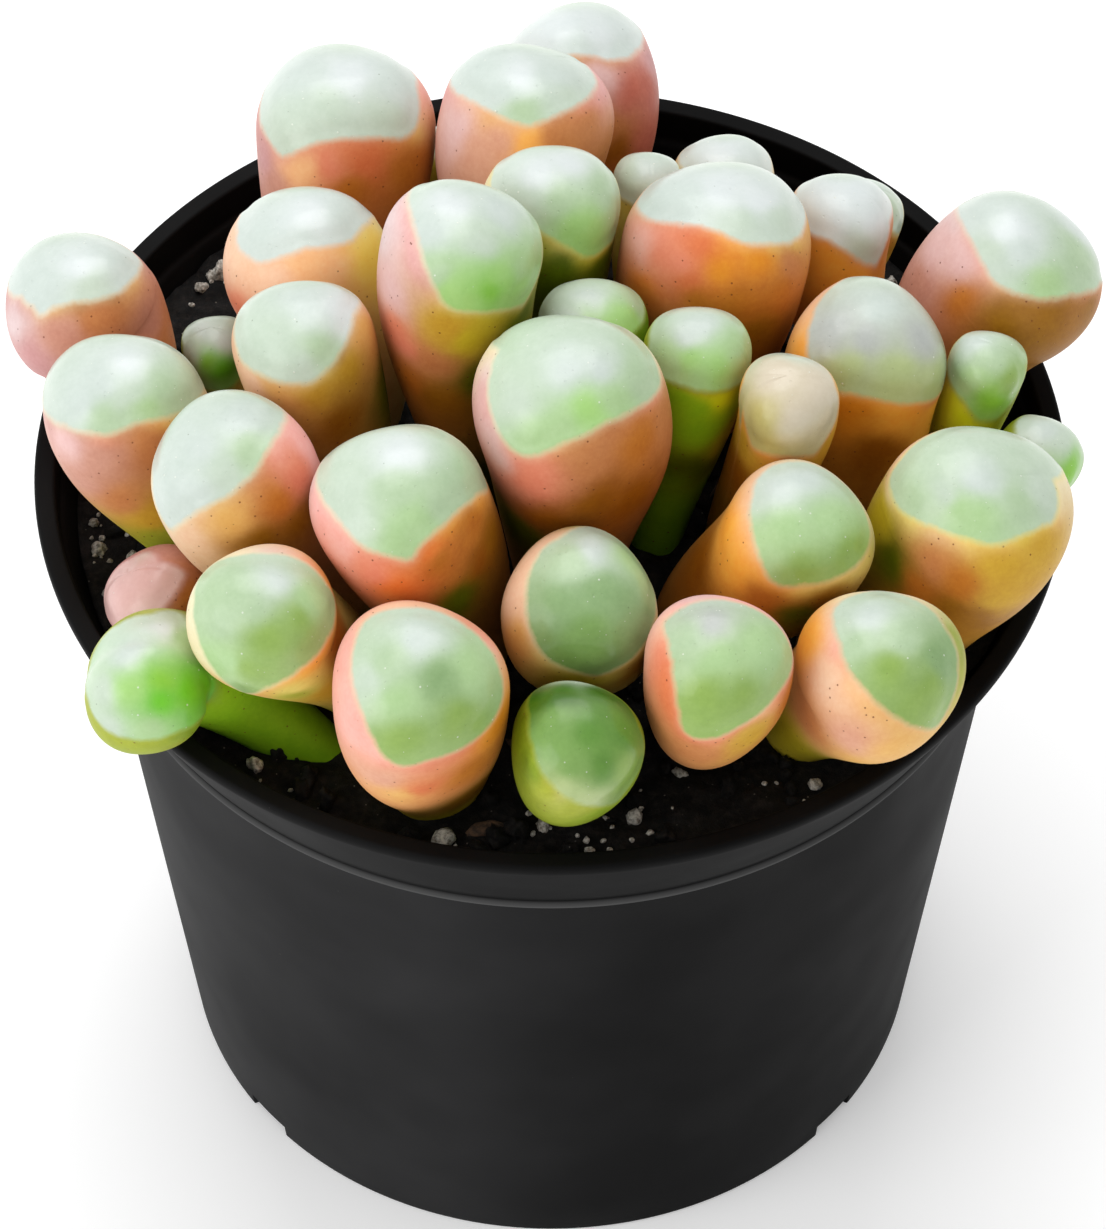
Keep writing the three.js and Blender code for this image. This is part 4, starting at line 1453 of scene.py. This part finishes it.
SOIL_SIDES = 280
SOIL_TOP_RINGS = 110
SOIL_EDGE_RADIUS = 29.4 * MM
SOIL_STEP = (27.0 * MM, 40.6 * MM)
SOIL_FLOOR_RADIUS = 21.6 * MM
SOIL_FLOOR = 2.2 * MM
SOIL_FLOOR_RINGS = 5
SOIL_SIDE_RINGS = 10
SOIL_COLLAR_RINGS = 4

# The soil's unevenness, in millimetres
WAVE_HEIGHT = 0.16
LOOSE_CRUMBS = ((2.6, 0.8, 5.5), (1.1, 0.4, 11.0), (0.55, 0.18, 16.5))
CRUMB_LEVEL = 0.35
MOUND_WIDTH = 4.5
MOUND_HEIGHT = 0.5

# Loose grains. Sizes are ranges in millimetres; widths and heights are shares of the grain's length.
CRUMB_SEED = 5
CRUMB_COUNT = 420
CRUMB_SIZES = (0.3, 0.95)
CRUMB_WIDTHS = (0.6, 0.95)
CRUMB_HEIGHTS = (0.5, 0.8)
CRUMB_LIFT = 0.15
CRUMB_ROUGHNESS = 0.45
COARSE_CRUMB = 0.7 * MM
EDGE_MARGIN = 0.8 * MM

PERLITE_SEED = 8
PERLITE_COUNT = 20
PERLITE_SIZES = (0.2, 0.6)
PERLITE_FORM = (1, 0.8, 0.7)
SEEN_PERLITE_FORM = (1, 0.85, 0.75)
PERLITE_ROUGHNESS = 0.35
SMALL_AROUND = 9
SMALL_SPREAD = 1.5
SMALL_SIZES = (0.10, 0.30)
RIM_MARGIN = 0.6 * MM

CHIP_SEED = 12
CHIP_COUNT = 26
CHIP_SIZES = (0.7, 1.5)
CHIP_WIDTHS = (0.25, 0.45)
CHIP_THICKNESS = 0.2
CHIP_ROUGHNESS = 0.25
CHIP_TILT = 0.5
CHIP_MARGIN = 2 * MM
GRAIN_LIFT = 0.1 * MM

FIBRE_SEED = 21
FIBRE_COUNT = 46
FIBRE_SIDES = 6
FIBRE_RADII = (0.06, 0.14)
FIBRE_STEPS = (6, 12)
FIBRE_STEP = 0.4 * MM
FIBRE_BEND = 0.35
FIBRE_SHAKE = 0.15
FIBRE_LIFT = 0.12 * MM
FIBRE_TURN_BACK = 2
FIBRE_START_MARGIN = 3 * MM
FIBRE_MARGIN = 0.5 * MM

# Where the photo shows white perlite, as pixels, with the grain's radius in millimetres
SEEN_PERLITE = [
    (213, 264, 0.75), (186, 256, 0.55), (182, 272, 0.5), (84, 600, 0.8), (100, 616, 0.55), (78, 548, 0.6),
    (440, 848, 0.8), (543, 826, 0.45), (634, 812, 0.6), (816, 782, 0.5), (906, 268, 0.55), (245, 778, 0.6),
    (1008, 628, 0.4), (955, 700, 0.35), (60, 520, 0.4), (590, 852, 0.35),
]


def soil_height(x, y):
    """Height of the crumbly soil at a place, without its finest grain."""
    waves = (
        math.sin(0.55 * x / MM + 1.3) * math.cos(0.48 * y / MM - 0.4)
        + 0.6 * math.sin((1.15 * x - 0.9 * y) / MM + 2.1)
    )
    place = Vector((x, y, 0))
    height = WAVE_HEIGHT * waves
    for size, depth, layer in LOOSE_CRUMBS:
        nearest = noise.voronoi(place / (size * MM) + Vector((0, 0, layer)))[0][0]
        height += depth * (CRUMB_LEVEL - min(nearest, 1))
    height += MOUND_HEIGHT * noise.noise(place / (MOUND_WIDTH * MM))
    return SOIL_LEVEL + height * MM


def on_soil(x, y):
    return Vector((x, y, soil_height(x, y)))


def side_rings(start, end, steps):
    """Radius and height of rings from one place on the soil's side to another, without the first."""
    return [
        tuple(first + (last - first) * step / steps for first, last in zip(start, end))
        for step in range(1, steps + 1)
    ]


def add_soil(material):
    floor_edge = (SOIL_FLOOR_RADIUS, SOIL_FLOOR)
    rings = side_rings((0, SOIL_FLOOR), floor_edge, SOIL_FLOOR_RINGS)
    rings += side_rings(floor_edge, SOIL_STEP, SOIL_SIDE_RINGS)
    rings += side_rings(SOIL_STEP, (SOIL_EDGE_RADIUS, SOIL_LEVEL), SOIL_COLLAR_RINGS)[:-1]
    points = [(0, 0, SOIL_FLOOR)]
    for radius, height in rings:
        points += circle(radius, SOIL_SIDES, height)
    for ring in range(SOIL_TOP_RINGS):
        radius = SOIL_EDGE_RADIUS * (1 - ring / SOIL_TOP_RINGS)
        points += [on_soil(x, y) for x, y, _ in circle(radius, SOIL_SIDES, SOIL_LEVEL)]
    points.append(on_soil(0, 0))
    faces = grid_faces(len(rings) + SOIL_TOP_RINGS, SOIL_SIDES)
    soil = new_piece("potting_mix", points, faces, material)
    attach(soil, "root")
    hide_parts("soil")


def lump(centre, size, stretch, turn, seed, divisions, roughness):
    """Points and faces of one rough grain."""
    shape = bmesh.new()
    bmesh.ops.create_icosphere(shape, subdivisions=divisions, radius=1)
    points = []
    for vertex in shape.verts:
        bumps = noise.noise(vertex.co * 1.4 + Vector((seed, 0, 0))) + 0.5 * noise.noise(vertex.co * 3.5)
        scaled = vertex.co * (1 + roughness * bumps)
        scaled = Vector((scaled.x * stretch[0], scaled.y * stretch[1], scaled.z * stretch[2])) * size
        scaled.rotate(turn)
        points.append(tuple(scaled + centre))
    faces = [tuple(vertex.index for vertex in face.verts) for face in shape.faces]
    shape.free()
    return points, faces


def join_parts(name, parts, material):
    points = []
    faces = []
    for part_points, part_faces in parts:
        start = len(points)
        points += part_points
        faces += [tuple(index + start for index in face) for face in part_faces]
    piece = new_piece(name, points, faces, material)
    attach(piece, "root")


def random_place(source, margin):
    """A place on the soil, at least the margin inside its edge."""
    angle = source.uniform(0, math.tau)
    radius = (SOIL_EDGE_RADIUS - margin) * math.sqrt(source.random())
    return on_soil(radius * math.cos(angle), radius * math.sin(angle))


def random_turn(source):
    return Euler([source.uniform(0, math.tau) for _ in range(3)])


def add_crumbs(material):
    source = random.Random(CRUMB_SEED)
    parts = []
    for index in range(CRUMB_COUNT):
        size = source.uniform(*CRUMB_SIZES) * MM
        stretch = (1, source.uniform(*CRUMB_WIDTHS), source.uniform(*CRUMB_HEIGHTS))
        centre = random_place(source, EDGE_MARGIN) + Vector((0, 0, CRUMB_LIFT * size))
        divisions = 3 if size > COARSE_CRUMB else 2
        turn = random_turn(source)
        parts.append(lump(centre, size, stretch, turn, index, divisions, CRUMB_ROUGHNESS))
    join_parts("crumbs", parts, material)


def perlite_grain(centre, size, form, turn, seed, divisions=3):
    return lump(centre, size, form, turn, seed, divisions, PERLITE_ROUGHNESS)


def add_perlite(material):
    source = random.Random(PERLITE_SEED)
    parts = []
    for index, (x, y, radius) in enumerate(SEEN_PERLITE):
        centre = soil_point(x, y)
        reach = SOIL_EDGE_RADIUS - RIM_MARGIN - radius * MM
        centre *= min(1, reach / centre.to_2d().length)
        centre.z = soil_height(centre.x, centre.y) + GRAIN_LIFT
        parts.append(perlite_grain(centre, radius * MM, SEEN_PERLITE_FORM, random_turn(source), index))
        for small in range(SMALL_AROUND):
            place = centre + Vector((source.gauss(0, SMALL_SPREAD), source.gauss(0, SMALL_SPREAD), 0)) * MM
            if place.to_2d().length < SOIL_EDGE_RADIUS - RIM_MARGIN:
                place.z = soil_height(place.x, place.y)
                size = source.uniform(*SMALL_SIZES) * MM
                turn = random_turn(source)
                parts.append(perlite_grain(place, size, PERLITE_FORM, turn, 200 + 20 * index + small, 2))
    for index in range(PERLITE_COUNT):
        size = source.uniform(*PERLITE_SIZES) * MM
        centre = random_place(source, EDGE_MARGIN)
        parts.append(perlite_grain(centre, size, PERLITE_FORM, random_turn(source), 50 + index))
    join_parts("perlite_grains", parts, material)


def add_chips(material):
    source = random.Random(CHIP_SEED)
    parts = []
    for index in range(CHIP_COUNT):
        size = source.uniform(*CHIP_SIZES) * MM
        tilts = [source.uniform(-CHIP_TILT, CHIP_TILT) for _ in range(2)]
        turn = Euler((*tilts, source.uniform(0, math.tau)))
        centre = random_place(source, CHIP_MARGIN) + Vector((0, 0, GRAIN_LIFT))
        stretch = (1, source.uniform(*CHIP_WIDTHS), CHIP_THICKNESS)
        parts.append(lump(centre, size, stretch, turn, 90 + index, 3, CHIP_ROUGHNESS))
    join_parts("bark_chips", parts, material)


def fibre(source):
    """Points and faces of one thin, wandering fibre that lies on the soil."""
    place = random_place(source, FIBRE_START_MARGIN)
    heading = source.uniform(0, math.tau)
    bend = source.uniform(-FIBRE_BEND, FIBRE_BEND)
    thickness = source.uniform(*FIBRE_RADII) * MM
    steps = source.randint(*FIBRE_STEPS)
    points = []
    for step in range(steps):
        heading += bend + source.uniform(-FIBRE_SHAKE, FIBRE_SHAKE)
        along = Vector((math.cos(heading), math.sin(heading), 0))
        beyond = place + along * FIBRE_STEP
        if beyond.to_2d().length > SOIL_EDGE_RADIUS - FIBRE_MARGIN:
            heading += FIBRE_TURN_BACK
        else:
            place = beyond
        place.z = soil_height(place.x, place.y) + FIBRE_LIFT
        across = Vector((-along.y, along.x, 0))
        taper = thickness * math.sin(math.pi * (step + 0.5) / steps) ** 0.5
        for side in range(FIBRE_SIDES):
            angle = math.tau * side / FIBRE_SIDES
            ring = across * math.cos(angle) + Vector((0, 0, math.sin(angle)))
            points.append(tuple(place + ring * taper))
    start = tuple(np.mean(points[:FIBRE_SIDES], axis=0))
    end = tuple(np.mean(points[-FIBRE_SIDES:], axis=0))
    return [start, *points, end], grid_faces(steps, FIBRE_SIDES)


def add_fibres(material):
    source = random.Random(FIBRE_SEED)
    join_parts("fibres", [fibre(source) for _ in range(FIBRE_COUNT)], material)


# Floor and light

FLOOR_HALF_WIDTH = 3.0
WORLD_STRENGTH = 0.70
ALL_BOUNCES = 4
SOFT_BOUNCES = 2

# Direction from the rim, distance, size and power
STUDIO_LIGHTS = {
    "sky_panel": ((-0.05, 0.45, 0.9), 0.6, 0.4, 1.7),
    "front_fill": ((-0.85, -0.55, 0.5), 0.9, 0.6, 3.0),
}


def add_floor(material):
    half = FLOOR_HALF_WIDTH
    corners = [(-half, -half, 0), (half, -half, 0), (half, half, 0), (-half, half, 0)]
    floor = new_piece("floor", corners, [(0, 1, 2, 3)], material)


def add_light(name, direction, distance, size, power):
    data = bpy.data.lights.new(name, "AREA")
    data.shape = "SQUARE"
    data.size = size
    data.energy = power
    light = add_to_scene(name, data)
    towards = Vector(direction).normalized()
    light.location = Vector((0, 0, RIM_HEIGHT)) + towards * distance
    light.rotation_euler = towards.to_track_quat("Z", "Y").to_euler()


def add_world():
    world = bpy.data.worlds.new("studio")
    world.use_nodes = True
    background = world.node_tree.nodes["Background"]
    background.inputs["Color"].default_value = (1, 1, 1, 1)
    background.inputs["Strength"].default_value = WORLD_STRENGTH
    bpy.context.scene.world = world


def set_light_paths():
    """Plain colours, and few bounces, so that the gaps between the leaves stay dark."""
    scene = bpy.context.scene
    scene.view_settings.view_transform = "Standard"
    scene.cycles.max_bounces = ALL_BOUNCES
    scene.cycles.diffuse_bounces = SOFT_BOUNCES
    scene.cycles.glossy_bounces = SOFT_BOUNCES


add_camera()
add_world()
for light_name, light_values in STUDIO_LIGHTS.items():
    add_light(light_name, *light_values)
add_floor(floor_material())

flesh = leaf_material()
for leaf_name, leaf_look in LEAVES.items():
    add_leaf(leaf_name, leaf_look, flesh)

add_pot(pot_material())
mix_material = soil_material()
add_soil(mix_material)
add_crumbs(mix_material)
add_perlite(perlite_material())
bark = bark_material()
add_chips(bark)
add_fibres(bark)
set_light_paths()
